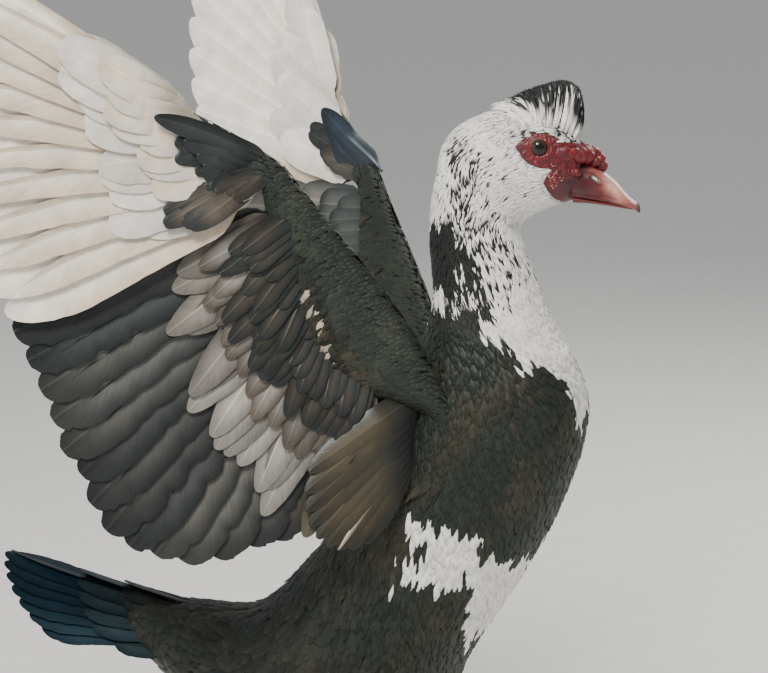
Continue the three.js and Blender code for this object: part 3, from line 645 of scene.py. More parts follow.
# %% Coats
class Coat:
    """Feathers gathered for one mesh piece; turned where the feathers' frame is mirrored."""

    def __init__(self, name, turned=False):
        self.name, self.order, self.size = name, -1 if turned else 1, 0
        self.quads, self.caps, self.parts = [], {}, []

    def add(self, form, points, colour, place, patch=0.003):
        """Adds feathers: points and colours for each template point, and each root's place on the map."""
        n, k = points.shape[:2]
        start = self.size + k * np.arange(n)[:, None, None]
        self.quads.append((form.quads + start).reshape(-1, 4))
        self.caps.setdefault(form.caps.shape[1], []).append((form.caps + start).reshape(-1, form.caps.shape[1]))
        vane = np.stack(np.broadcast_arrays(form.s, form.q + 3.0 * rng.integers(0, 400, (n, 1))), -1)
        bake = np.asarray(place)[:, None] + np.stack([form.s * form.w / 2, form.q - 0.5], -1) * np.asarray(patch)
        rim = np.where(form.rim > 0, form.rim + 32 * (np.arange(n)[:, None] + self.size), 0)
        values = (points, np.clip(colour, 0, 1), vane, bake)
        self.parts.append([value.reshape(n * k, -1) for value in values] + [rim.ravel()])
        self.size += n * k

    def build(self, finish, nodes=()):
        faces = [np.concatenate(f)[:, ::self.order] for f in (self.quads, *self.caps.values())]
        points, colour, vane, bake, rim = (np.concatenate(part) for part in zip(*self.parts))
        make(self.name, points, faces, finish, nodes, colour, vane, bake, rim)


# %% Laying feathers
def tangents(surface, u, v, step=0.03):
    """A surface's point, its two slopes and its outward normal, from small steps in u and v."""
    pu = (surface(u + step, v) - surface(u - step, v)) / (2 * step)
    pv = (surface(u, v + step) - surface(u, v - step)) / (2 * step)
    return surface(u, v), pu, pv, unit(np.cross(pu, pv))


def lay(surface, u, v, aim, length, width, form, rise, limits, thick=0.35, base=0.0, crown=0.1):
    """Points of feathers laid on a surface, shape (feathers, template points, 3).

    Each point steps from the root by q times the length along the aim and by s times half the width
    across it, both turned into steps of u and v. It stands off the skin by the base, plus the rise
    times q, plus the crown times the width over the middle."""
    _, pu, pv, _ = tangents(surface, u, v)
    lu, lv = (np.linalg.norm(p, axis=-1) for p in (pu, pv))
    back = -(aim * pu).sum(-1) / lu
    side = (aim * pv).sum(-1) / lv
    norm = np.hypot(back, side)
    back, side = (back / norm)[:, None], (side / norm)[:, None]
    a = form.q * length[:, None]
    b = form.s * form.w * width[:, None] / 2
    uu = np.clip(u[:, None] + (b * side - a * back) / lu[:, None], *limits)
    vv = v[:, None] + (a * side + b * back) / lv[:, None]
    p, _, _, out = tangents(surface, uu, vv)
    high = base + rise[:, None] * form.q ** 1.2 + form.t * thick
    high = high + crown * width[:, None] * form.w * (1 - form.s ** 2) * 0.5
    return p + out * high[..., None]


def rows_on(surface, low, high, spacing, density):
    """Roots in staggered rows round a surface, spaced in millimetres by a number or a function of u."""
    gap, room = (f if callable(f) else (lambda at, value=f: value) for f in (spacing, density))
    us, at = [], low
    while at < high:
        us.append(at)
        ahead, behind = (surface(np.array([at + d]), np.array([np.pi])) for d in (0.05, -0.05))
        at += gap(at) / max(np.linalg.norm(ahead - behind) / 0.1, 1e-3)
    angles, u_all, v_all = np.linspace(0, 2 * np.pi, 90), [], []
    for k, at in enumerate(us):
        ring = surface(np.full(90, at), angles)
        arc = np.concatenate([[0], np.cumsum(np.linalg.norm(np.diff(ring, axis=0), axis=1))])
        count = max(3, int(arc[-1] / room(at)))
        share = (np.arange(count) + 0.5 * (k % 2) + 0.25 * rng.normal(size=count)) / count
        v_all.append(np.interp(np.mod(share, 1) * arc[-1], arc, angles))
        u_all.append(np.full(count, at))
    return np.concatenate(u_all), np.concatenate(v_all)


def map_place(v, share):
    """Places on the bake map for small feathers: across by a share, up by the angle round the body."""
    return np.stack([share, v / 6.6 + 0.02], -1)


# %% Feather finish
GREENISH = (0.6, 0.75, 0.6, 1)


def plumage(name, rough, barbs, streak, shaft=0.0, gloss=(1, 1, 1, 1), sheen=0.0, sheen_tint=(1, 1, 1, 1),
            coat=0.0, level=0.32):
    """Reads each feather's own colour, streaks it along its barbs and lightens its shaft."""
    f = Finish(name, Roughness=rough, Specular_Tint=gloss, Specular_IOR_Level=level, Sheen_Weight=sheen,
               Sheen_Tint=sheen_tint, Sheen_Roughness=0.35, Coat_Weight=coat, Coat_Roughness=0.3)
    place = f.add("SeparateXYZ", {0: f.add("UVMap", uv_map="Vane").outputs[0]}).outputs
    away = f.math("ABSOLUTE", place["X"])
    slant = f.math("SUBTRACT", f.math("MULTIPLY", place["Y"], float(barbs)), f.math("MULTIPLY", away, barbs * 0.14))
    line = f.add("CombineXYZ", {"X": slant, "Y": f.math("MULTIPLY", away, 0.7)}).outputs[0]
    barb, patch = f.noise(1.0, 3.0, line, 0.6), f.noise(60, 2)
    stem = f.spread(away, 0.02, 0.075, 1.0, 0.0)
    streaks = f.spread(barb, 0.25, 0.75, 1 - streak, 1 + streak)
    factor = f.math("MULTIPLY", streaks, f.spread(patch, 0.3, 0.7, 0.88, 1.12))
    factor = f.math("ADD", factor, f.math("MULTIPLY", stem, shaft))
    height = f.math("ADD", f.math("MULTIPLY", barb, 0.6), f.math("MULTIPLY", stem, 0.5))
    return f.dyed(factor, height, 0.35, 0.0004)


body_finish = plumage("body_feathers", 0.5, 26, 0.3, gloss=(0.8, 0.95, 0.84, 1), sheen=0.08, sheen_tint=GREENISH)
head_finish = plumage("head_feathers", 0.6, 8, 0.08, sheen=0.1)

# %% [markdown]
# The body's feathers run from the breast to the rump like roof tiles, small on the breast and larger
# towards the rump. They are laid from the tail forwards, as three pieces to keep each piece small.

# %% Body feathers
def body_feathers(name, form, low, high, spacing, density, length, width, rise):
    """Feathers between two stations; spacing, density, length and width are functions of the station."""
    coat = Coat(name)
    u, v = rows_on(body_skin, low, high, spacing, density)
    n = len(u)
    size = rng.normal(1, 0.09, n)
    _, pu, pv, _ = tangents(body_skin, u, v)
    aim = -unit(pu) + (0.22 * blot(body(u, v), 45, 31) + 0.1 * rng.normal(size=n))[:, None] * unit(pv)
    tone, white = body_tone(u, v, n)
    rise = rise * (0.8 + 0.5 * rng.random(n))
    points = lay(body_skin, u, v, aim, length(u) * size, width(u) * size, form, rise, (-0.7, 23.6), crown=0.06)
    fade = 0.72 + 0.3 * smooth(form.q, 0.1, 0.8) + 0.16 * np.abs(form.s) * smooth(form.q, 0.5, 1.0)
    fade = fade * (1 - white) + white * (0.9 + 0.1 * fade)
    coat.add(form, points, tone[:, None] * fade[..., None], map_place(v, u / 24 * 0.9 + 0.05))
    coat.build(body_finish)


body_feathers("feathers_rear", SCALE, 0.1, 6.2, lambda u: 7.2 + 1.2 * (u < 4), 7.6,
              lambda u: 29 - 1.4 * u, lambda u: 13.5 - 0.6 * u, 2.4)
body_feathers("feathers_belly", LEAF, 6.2, 9.0, lambda u: 5.2 - 0.2 * (u - 6), lambda u: 5.4 - 0.25 * (u - 6),
              lambda u: 21 - 1.2 * (u - 6), lambda u: 8.4 - 0.6 * (u - 6), 1.9)
body_feathers("feathers_breast", LEAF, 9.0, 11.6, 4.3, 4.3, lambda u: 16.5, lambda u: 6.6, 1.6)

# %% [markdown]
# Wing and tail feathers are long, stiff vanes. Each is a closed plate with a raised shaft on both faces,
# a narrow vane in front of the shaft and a wide one behind it. Its plane is parallel to its
# neighbours' and tilted a little towards the bone, so that every feather lies just over the next.

# %% Forms of long feathers
VANE_ACROSS = [
    (-1, 0, 0), (-0.7, 1, 0), (-0.38, 1, 0), (-0.06, 1, 0), (0, 1, 1), (0.1, 1, 0), (0.5, 1, 0),
    (1, 0, 0), (0.5, -1, 0), (0.1, -1, 0), (0, -1, -1), (-0.06, -1, 0), (-0.38, -1, 0), (-0.7, -1, 0),
]


def outline(rings, opens, round_from, tip, roundness=2.2, base=0.12):
    """Widths along a long feather: a bare quill, a vane that opens by a share, and a rounded tip."""
    q = np.sort(np.concatenate([np.linspace(0, 1, rings), 1 - 0.06 * np.linspace(0.1, 0.8, 4) ** 1.5]))
    w = base + (0.94 - base) * smooth(q, 0.1 * opens, opens) + 0.06 * smooth(q, opens, 0.8)
    t = np.clip((q - round_from) / (1 - round_from), 0, 1)
    return np.stack([q, w * (tip + (1 - tip) * (1 - t ** roundness) ** (1 / roundness))], -1)


FLIGHT = Form(outline(30, 0.26, 0.80, 0.10), VANE_ACROSS)
POINTED = Form(outline(30, 0.24, 0.72, 0.08, 1.7), VANE_ACROSS)
COVERT = Form(outline(15, 0.20, 0.62, 0.10, base=0.3), VANE_ACROSS)
LANCE = Form(outline(17, 0.22, 0.5, 0.06, 1.7, 0.3), VANE_ACROSS)


# %% Long feathers
LIFT_REACH = 42


def vanes(row, length, width, form, leading=0.45, droop=0.0, sweep=0.0, lift=0.0, camber=0.03, quill=0.9,
          ragged=0.05):
    """Points of long feathers, shape (feathers, template points, 3).

    A point lies q times the length along the shaft and s times a share of the width beside it. It is
    lifted off at the root, droops by the square of its reach, and its edges bend down by the camber.
    Notches of random depth, the ragged part of the width at most, break its edges."""
    n = len(row["root"])
    root, along, lead, up = (np.broadcast_to(row[k], (n, 3))[:, None] for k in ("root", "along", "lead", "up"))
    length, width, leading, droop, sweep, lift = (
        np.broadcast_to(np.asarray(a, float), (n,))[:, None] for a in (length, width, leading, droop, sweep, lift))
    rings = np.unique(form.q, return_inverse=True)[1]
    notch = (rng.random((n, rings.max() + 1, 2)) ** 3)[:, rings]
    ahead = form.s > 0
    edge = 1 - ragged * np.where(ahead, notch[..., 0], notch[..., 1]) * smooth(form.q, 0.3, 0.6)
    wide = form.w * width * edge
    reach = form.q * length
    across = form.s * np.where(ahead, leading, 1 - leading) * wide - sweep * form.q ** 2 * length
    high = lift * smooth(reach / LIFT_REACH) - droop * (reach / 200) ** 2 - camber * form.s ** 2 * wide
    high = high + form.t * 0.225 + form.ridge * quill * (1 - 0.85 * form.q)
    return root + along * reach[..., None] + lead * across[..., None] + up * high[..., None]


def between(rows, at):
    """Reads rows along straight lines, for angles that shouldn't overshoot."""
    rows = np.asarray(rows, float)
    return np.stack([np.interp(at, np.arange(len(rows)), column) for column in rows.T], -1)


def laid(root, direction, up, side, share):
    """A row of feathers: directions turned into their plane, and the way to their leading edge."""
    along = unit(direction - up * (direction @ up)[..., None])
    return {"t": share, "root": root, "along": along, "lead": -side * np.cross(up, along), "up": up, "side": side}


def flight_row(part, rows, fan, count, start, stop, inset):
    """Roots and directions of a row of flight feathers along a bone."""
    t = np.linspace(0, 1, count)
    reach = start + (stop - start) * t
    front, behind, _ = np.moveaxis(along_rows(rows, reach * (len(rows) - 1)), -1, 0)
    back = behind - np.minimum(inset, 0.5 * (front + behind))
    root = part["start"] + reach[:, None] * part["line"] + back[:, None] * part["rear"]
    return laid(root, fanned(*between(fan, t * (len(fan) - 1)).T, part["side"]), part["up"], part["side"], t)


def tier(flights, count, low, high, turn=0.0, sink=0.0):
    """A row of coverts, read between flight feathers by their share of the row, turned and sunk back."""
    at = np.linspace(low, high, count)
    root, along, lead = (np.stack([np.interp(at, flights["t"], column) for column in flights[k].T], -1)
                         for k in ("root", "along", "lead"))
    row = laid(root, along + turn * lead, flights["up"], flights["side"], at)
    return row | {"root": root - sink * row["along"]}


def dye(form, n, middle, edge, tip=None, root=None, vary=0.06):
    """Colours of feathers: from the middle to the edges, then towards the tip or the root."""
    each = lambda colour: np.broadcast_to(np.asarray(colour, float), (n, 3))[:, None]
    colour = mixed(each(middle), each(edge), smooth(np.abs(form.s), 0.25, 1))
    for other, share in ((tip, smooth(form.q, 0.72, 1)), (root, 1 - smooth(form.q, 0.1, 0.55))):
        if other is not None:
            colour = mixed(colour, each(other), share)
    return colour * (1 + vary * np.clip(rng.normal(size=(n, 1, 1)), -1.3, 1.3))


# %% [markdown]
# A flight feather or covert gets a strip of its own on the bake map instead of a patch at its root,
# since a small patch would blur the long colour changes along it. The arm's long feathers are dark
# grey with black edges, the innermost olive, and the hand's are cream.

# %% Flight feathers
OLIVE, SMOKE = np.array([0.085, 0.070, 0.042]), np.array([0.078, 0.073, 0.064])
TO_STEEL = np.array([-0.008, 0.0, 0.005])
IVORY, OVERLAP_SHADE_TAN = np.array([0.82, 0.78, 0.70]), np.array([0.62, 0.51, 0.38])
wing_finish = plumage("wing_feathers_dark", 0.32, 110, 0.24, 0.6, (0.85, 0.97, 1.0, 1), coat=0.04, level=0.42)
pale_finish = plumage("wing_feathers_pale", 0.5, 110, 0.12, 0.16, sheen=0.08)


def strips(count, total, row):
    """Places on the bake map for long feathers, side by side in a row of the map."""
    return np.stack([(np.arange(count) + 0.5) / total, np.full(count, row)], -1)


def wing_flights(name, wing):
    """The long feathers of the arm and the hand, and the two rows that the coverts are read from."""
    second = flight_row(wing["arm"], ARM, wing["arm_fan"], 17, 0.16, wing["outermost"], 12)
    first = flight_row(wing["hand"], HAND, wing["hand_fan"], 11, 0.085, 0.97, 9)
    t, n = second["t"], 17
    long = (104 + 114 * smooth(t, -0.02, 0.58) - 6 * t) * (1 + 0.012 * rng.normal(size=n))
    coat = Coat(f"flight_{name}_arm", wing["side"] < 0)
    points = vanes(second, long, 37 + 3 * t, FLIGHT, 0.42, 9, 0.03, camber=0.05, ragged=0.2)
    grey = SMOKE * (0.5 + 0.8 * rng.random((n, 1))) + TO_STEEL * rng.random((n, 1))
    # The light middle of each arm feather is a painted sheen band; its near-black edges and tip are the feather's own.
    middle = mixed(grey * 1.15, OLIVE, smooth(t, 0.3, 0.08))
    coat.add(FLIGHT, points, dye(FLIGHT, n, middle, grey * 0.1, grey * 0.28), strips(n, 18, 0.2), (0.05, 0.3))
    coat.build(wing_finish, [f"wing_{name}_arm"])

    t, n = first["t"], 11
    long = wing["spread"] * (214 + 84 * t - 36 * t ** 6)
    coat = Coat(f"flight_{name}_hand", wing["side"] < 0)
    points = vanes(first, long, 44 - 8 * t, POINTED, 0.38 - 0.13 * t, 3, 0.03 + 0.03 * t, -wing["dip"], camber=0.1)
    # Painted shade: the cream primaries turn tan towards their edges and root, where they overlap each other and lie
    # under the coverts.
    colour = dye(POINTED, n, IVORY * 1.08, OVERLAP_SHADE_TAN, IVORY * 1.05, OVERLAP_SHADE_TAN, 0.03)
    coat.add(POINTED, points, colour, strips(n, 12, 0.2), (0.08, 0.3))
    coat.build(pale_finish, [f"wing_{name}_hand"])
    return second, first


flights = {name: wing_flights(name, wing) for name, wing in WINGS.items()}

# %% [markdown]
# Coverts overlap the bases of the flight feathers in tiers, on both faces of the wing. Seen from
# outside, the raised wing shows its underside: silvery grey greater coverts, then browner ones with
# pale middles. The far wing shows its upper side, where the coverts are dark and glossed with green.

# %% Tiers of coverts
SILVER, TAUPE, SLATE = np.array([0.30, 0.28, 0.25]), np.array([0.105, 0.086, 0.066]), np.array([0.050, 0.057, 0.048])
INK, BEIGE, CREAM = np.array([0.016, 0.018, 0.017]), np.array([0.62, 0.54, 0.43]), np.array([0.81, 0.77, 0.70])
ARM_TIERS_ABOVE = [  # count, from, to, turn, sink; length, width, height, colours from middle to root, map row
    ((16, 0.08, 0.97), 88, 36, 5.0, (SILVER * 0.55, SLATE * 0.5, SLATE * 1.2, SLATE * 0.5), 0.5),
    ((15, 0.12, 0.97, 0, 3), 56, 29, 8.6, (SLATE * 0.8 + SILVER * 0.12, SLATE * 0.3, INK, SLATE * 0.3), 0.62),
    ((16, 0.14, 0.97, 0, 8), 36, 22, 11.2, (SLATE * 0.9, INK, INK, INK), 0.74),
]
HAND_TIERS = [
    ((11, 0.02, 0.96), 104, 34, -4.6, (CREAM * 0.96, CREAM * 0.8, CREAM * 0.9, BEIGE * 0.8), 0.1),
    ((10, 0.03, 0.93, 0, 2), 66, 28, -7.6, (BEIGE * 1.1, CREAM * 0.75, BEIGE, BEIGE * 0.7), 0.22),
    ((11, 0.02, 0.96), 88, 34, 4.6, (CREAM * 0.95, CREAM * 0.85, CREAM, CREAM * 0.8), 0.5),
]


def add_tier(coat, flights, place, length, width, height, colours, map_row, form=COVERT, droop=6, scatter=0.09,
             dip=0.0):
    """One tier of coverts, a height above the flight feathers or, below 0, under them."""
    row = tier(flights, *place)
    n = len(row["t"])
    size = rng.normal(1, scatter, n)
    sway, roll = 0.075 * rng.normal(size=(2, n, 1))
    row |= {"root": row["root"] + 0.4 * height * row["up"], "along": unit(row["along"] + sway * row["lead"]),
            "up": unit(row["up"] + roll * row["lead"])}
    points = vanes(row, length * size, width, form, 0.45, droop, 0.03, 0.6 * height - dip + 0.25 * rng.normal(size=n),
                   camber=0.06 if height > 0 else 0.036, quill=0.55, ragged=0.06)
    coat.add(form, points, dye(form, n, *colours, 0.14), strips(n, 18, map_row), (0.05, 0.09))


# %% Axillaries
def axillaries(coat, wing, second):
    """Long dark feathers of the armpit, over the inner end of the underside; one has a painted highlight along its
    shaft.
    """
    arm, n = wing["arm"], 9
    k = np.linspace(0, 1, n)
    root = arm["start"] + (0.06 - 0.12 * k)[:, None] * arm["line"] + (7 + 30 * k)[:, None] * arm["rear"]
    shade = np.array([0.050, 0.039, 0.021]) * (0.4 + 1.0 * rng.random((n, 1)))
    colour = dye(LANCE, n, shade, shade * 0.3, shade * 0.35, INK)
    # Painted highlight: a pale streak along one feather's shaft, where the light glints on it.
    colour[n - 3][np.abs(LANCE.s) < 0.07] = (0.5, 0.42, 0.3)
    row = tier(second, n, 0.85, 0.28) | {"root": root}
    points = vanes(row, 104 + 70 * k * (1 - k) - 22 * k * k, 26, LANCE, 0.45, 4, 0.05, -10.5 - 0.8 * np.arange(n)[::-1],
                   camber=-0.1, quill=0.6)
    coat.add(LANCE, points, colour, strips(n, 18, 0.86), (0.05, 0.09))


# %% Alula
def alula(coat, wing):
    """The thumb's four stiff feathers, standing off the wrist: blue-black, and bluer on the left."""
    hand, thumb, side = wing["hand"], wing["alula"], wing["side"]
    k, off = np.arange(4), thumb["off"]
    root = hand["start"] + (thumb["share"] + 0.03 * k)[:, None] * hand["line"]
    root = root + (thumb["rear"] + 3.5 * k)[:, None] * hand["rear"]
    row = laid(root, fanned(thumb["rise"] - 5.0 * k, np.full(4, thumb["out"]), side), hand["up"], side, k)
    right = side < 0
    long, wide = thumb["long"] * np.array([1, 0.7, 0.54, 0.44]), thumb["wide"] * np.array([1, 1, 0.95, 0.9])
    points = vanes(row, long, wide, POINTED, 0.4, 34.0 * right, 0.05 + 0.09 * right, off - np.sign(off) * k,
                   camber=0.1 * np.sign(off), ragged=0.02)
    blue = INK * 1.1 + np.array([0.0, 0.006, 0.02]) * (not right)
    coat.add(POINTED, points, dye(POINTED, 4, blue * 1.3, blue * 0.5, blue * 0.6), strips(4, 6, 0.3), (0.1, 0.4))


def inner_coverts(coat, wing, first):
    """Eight brown coverts of the wrist, over the gap between the arm's coverts and the hand's."""
    n = 8
    shade = TAUPE * (0.35 + 0.6 * rng.random((n, 1)))
    points = vanes(tier(first, n, -0.05, 0.13, -0.1), 66 * rng.normal(1, 0.1, n), 19, COVERT, sweep=0.03,
                   lift=-13.5 - wing["dip"] + 0.5 * np.arange(n), camber=-0.08, quill=0.5)
    coat.add(COVERT, points, dye(COVERT, n, shade, shade * 0.5, INK, INK), strips(n, 28, 0.8), (0.04, 0.09))


def hand_edge(coat, wing, first, face):
    """Dark small coverts over the bases of the primary coverts, ragged where they meet the white."""
    row = tier(first, 26, -0.02, 0.46 if face < 0 else 0.3, 0, 6)
    n = len(row["t"])
    long = np.where(np.arange(n) % 2, 38, 25) * rng.normal(1, 0.14, n)
    row |= {"root": row["root"] + 4.4 * face * row["up"],
            "along": unit(row["along"] + 0.1 * rng.normal(size=(n, 1)) * row["lead"])}
    points = vanes(row, long, 14, COVERT, sweep=0.03, lift=5.6 * face - wing["dip"] + 0.4 * rng.normal(size=n),
                   camber=0.08 * face, quill=0.5)
    shade = mixed(INK * 1.4, TAUPE * 0.55, smooth(row["t"], 0.14, 0.04)) * (0.7 + 0.6 * rng.random((n, 1)))
    colour = dye(COVERT, n, shade, shade * 0.6, shade * 0.7, INK)
    coat.add(COVERT, points, colour, strips(n, 28, 0.6 + 0.1 * face), (0.04, 0.09))


# %% Coverts
def wing_coverts(name, wing, second, first):
    """All coverts of a wing as three pieces: the arm's, the hand's pale ones, and those of the thumb."""
    mirrored, arm, hand = wing["side"] < 0, [f"wing_{name}_arm"], [f"wing_{name}_hand"]
    coat = Coat(f"coverts_{name}_arm", mirrored)
    share = np.linspace(0.05, 0.97, 17)
    browner = smooth(share, 0.55, 1.0)
    middle = SILVER * (1 - 0.55 * browner[:, None]) + TAUPE * 0.55 * browner[:, None]
    middle = mixed(np.array([0.10, 0.085, 0.05]), middle, smooth(share, 0.02, 0.22))
    add_tier(coat, second, (17, 0.05, 0.97, -0.07, 2), 118 - 14 * browner, 31, -5.0,
             (middle, middle * 0.42, middle * 0.6, TAUPE * 0.8), 0.1, LANCE)
    paler = 0.4 + 0.4 * smooth(np.linspace(0.12, 0.97, 17)[:, None], 0.2, 0.7)
    add_tier(coat, second, (17, 0.10, 0.97, -0.12, 4), 76, 24, -8.6,
             (SILVER * paler, TAUPE * 0.5, TAUPE * 0.8, TAUPE * 0.3), 0.22, LANCE)
    add_tier(coat, second, (24, 0.08, 0.97, -0.14, 8), 60, 16, -11.2, (TAUPE * 0.45, TAUPE * 0.16, INK, INK), 0.34,
             scatter=0.16)
    add_tier(coat, second, (24, 0.10, 0.96, -0.14, 12), 44, 15, -12.8, (TAUPE * 0.4, INK, INK, INK), 0.42, scatter=0.2)
    for row in ARM_TIERS_ABOVE:
        add_tier(coat, second, *row)
    axillaries(coat, wing, second)
    coat.build(wing_finish, arm)

    coat = Coat(f"coverts_{name}_hand", mirrored)
    for row in HAND_TIERS:
        add_tier(coat, first, *row, droop=3, dip=wing["dip"])
    coat.build(pale_finish, hand)

    coat = Coat(f"alula_{name}", mirrored)
    alula(coat, wing)
    inner_coverts(coat, wing, first)
    for face in (-1, 1):
        hand_edge(coat, wing, first, face)
    coat.build(wing_finish, hand)


for name, wing in WINGS.items():
    wing_coverts(name, wing, *flights[name])

# %% [markdown]
# The arm and hand themselves are covered by small, scale-like coverts, laid on the flesh as on the
# body. They point to the wing's rear and a little outwards, and get finer towards the leading edge.
# Below, a furrow along the arm is darkened by painted shade, and in it a painted glint shows as a pale line.

# %% Small feathers of the wings
LIMB_SPACING, SEAM_LEAN = 3.4, 0.29


def limb_coat(name, part, rows, low, high, size, flights, tone, node):
    """Small feathers on an arm or a hand, between two shares of its bone."""
    flesh_skin = lambda u, v: flesh(part, rows, u, v, -0.6)
    u, v = rows_on(flesh_skin, low, high, LIMB_SPACING, LIMB_SPACING)
    n = len(u)
    p, _, _, out = tangents(flesh_skin, u, v)
    front = smooth(-((p - part["start"]) @ part["rear"]), -34, 6)
    aim = unit(flights["along"].mean(0)) + 0.9 * front[:, None] * part["bone"] + 0.1 * rng.normal(size=(n, 3))
    long = size * (1.15 - 0.55 * front) * rng.normal(1, 0.12, n)
    rise = (0.25 + 0.5 * rng.random(n)) * (1.4 - 0.8 * front)
    points = lay(flesh_skin, u, v, aim, long, long * 0.36, LEAF, rise, (low - 0.05, 1.04), 0.2, 0.1, 0.05)
    coat = Coat(name)
    fade = (0.86 + 0.18 * (1 - np.abs(LEAF.s)) * smooth(LEAF.q, 0.1, 0.7))[:, None]
    colour = tone(p, part, out @ part["face"] > 0, n)[:, None] * fade
    coat.add(LEAF, points, colour, map_place(v, u * 0.8 + 0.1))
    coat.build(limb_finish, [node])


def arm_tone(p, part, upper, n):
    """Green-black above and along the leading edge, browner behind it below, with painted shade in a furrow and one
    pale line of painted glint in it.
    """
    mix = smooth(blot(p, 30, 44) + 0.6 * rng.normal(size=n), -0.5, 1.5)
    away, back = (p - part["start"]) @ part["bone"], (p - part["start"]) @ part["rear"]
    brown = mixed(np.array([0.024, 0.021, 0.016]), np.array([0.060, 0.045, 0.029]), mix)
    green = mixed(np.array([0.017, 0.020, 0.016]), np.array([0.030, 0.034, 0.025]), mix)
    seam = back + SEAM_LEAN * (away - 92)
    # Painted shade: the feathers darken along a crease under the arm.
    furrow = np.exp(-((seam - 28) / 4.5) ** 2) * smooth(away, 45, 60) * smooth(away, 150, 130)
    # Painted glint: a pale line of feathers in the furrow, where the light catches them.
    line = np.exp(-((seam - 36 + 1.5 * blot(p, 20, 45)) / 3.2) ** 2) * smooth(away, 52, 60) * smooth(away, 134, 126)
    below = mixed(brown, green, smooth(back, 30, 20)) * (1 - 0.7 * furrow[:, None])
    pale = line * (1 + 0.35 * rng.normal(size=n)) > 0.6
    below = np.where(pale[:, None], BEIGE * (0.45 + 0.4 * rng.random((n, 1))), below)
    return np.where(upper[:, None], green, below)


def hand_tone(p, part, upper, n):
    """Black, lighter or darker from feather to feather; it takes what arm_tone takes."""
    return INK * 1.5 * (0.7 + 0.7 * rng.random((n, 1)))


limb_finish = plumage("small_wing_feathers", 0.55, 26, 0.25, gloss=(0.85, 0.95, 0.9, 1), sheen=0.06,
                      sheen_tint=GREENISH)
for name, wing in WINGS.items():
    second, first = flights[name]
    limb_coat(f"small_coverts_{name}_arm", wing["arm"], ARM, -0.2, 0.99, 14.5, second, arm_tone, f"wing_{name}_arm")
    limb_coat(f"small_coverts_{name}_hand", wing["hand"], HAND, 0.0, 0.97, 12.0, first, hand_tone, f"wing_{name}_hand")

# %% [markdown]
# The tail is a shallow fan of stiff, pointed, blue-black feathers with shiny shafts, stacked with the
# middle pair on top. Coverts close the gap to the rump above and below.

# %% Tail
TAIL_RISE, TAIL_MIDDLE = np.radians(12), 175
BLUE = np.array([0.0055, 0.015, 0.023])
tail_finish = plumage("tail_feathers", 0.36, 110, 0.14, 0.5, (0.45, 0.85, 1.0, 1), coat=0.02, level=0.14)


def add_tail_row(coat, count, x, top, spread, length, width, step, form, tone, map_row, bend=46, spine=17.0):
    """A row of the fan: roof-shaped, its middle pair on top and each next pair lower and rolled further out."""
    share = np.linspace(-1, 1, count)
    away, side = np.abs(share)[:, None], np.where(share < 0, -1.0, 1.0)[:, None]
    c, s = np.cos(TAIL_RISE), np.sin(TAIL_RISE)
    rear, roll = np.array([[-c, 0, s]]), np.radians(14 + 34 * away)
    up = np.cos(roll) * np.array([[s, 0, c]]) + np.sin(roll) * side * np.array([[0, 1.0, 0]])
    outward_way = unit(np.cross(rear, up)) * side
    outward_way = outward_way * np.where(outward_way[:, 1:2] * side > 0, 1, -1)
    out = np.radians(spread * away)
    along = unit(np.cos(out) * rear + np.sin(out) * outward_way)
    up = unit(up - along * (along * up).sum(-1, keepdims=True))
    root = np.concatenate([x + 6 * away, spine * share[:, None], top - 15 * away ** 1.3], -1)
    row = {"root": root - step * np.sign(top - TAIL_MIDDLE) * away * up, "along": along, "up": up,
           "lead": np.cross(along, up)}
    points = vanes(row, length - bend * away[:, 0] ** 1.6, width, form, 0.5, -4, camber=0.06, quill=0.8, ragged=0.08)
    coat.add(form, points, dye(form, count, tone * 1.6, tone * 0.4, tone * 0.7, INK * 0.6), strips(count, 20, map_row),
             (0.045, 0.22))


tail = Coat("tail_fan")
add_tail_row(tail, 14, -184, 186, 17, 150, 30, 5, POINTED, BLUE, 0.25)
add_tail_row(tail, 9, -170, 187, 15, 96, 27, 3, COVERT, BLUE * 0.7 + SLATE * 0.2, 0.55, 20, 16)
add_tail_row(tail, 9, -160, 188, 15, 66, 24, 2, COVERT, SLATE * 0.45, 0.7, 14, 15)
add_tail_row(tail, 9, -168, 171, 13, 72, 26, 2, COVERT, BLUE * 0.4 + SLATE * 0.2, 0.85, 14)
tail.build(tail_finish, ["tail"])

# %% [markdown]
# The neck and head are clothed in short, hair-like feathers, thousands of them, the smallest on the
# face. They leave the red face bare. Its edge is drawn as the markings are, in the picture. Many black
# feathers outside the black nape have white bases, which show where the feathers part.

# %% Neck and head feathers
FACE = np.array([
    [515, 146.5], [526, 137], [538, 131.5], [551, 133.5], [560, 139], [566, 142], [573, 141], [582, 142], [594, 144],
    [612, 165], [612, 206], [566, 205], [555, 200], [548, 192], [544, 184], [547, 176], [552, 171], [549, 169.5],
    [540, 168.5], [530, 165], [522, 158],
])


def bareness(u, v):
    """How far inside the bare face a point lies, in pixels: below 0 among the feathers."""
    return np.where(np.asarray(u) > 17.5, inside(shown_at(u, v), FACE), -30.0)


def plain_skin(u, v):
    """A surface just above the closed skin, for the small feathers to stand on."""
    return body(u, v, -skin_depth(u) + 0.2)


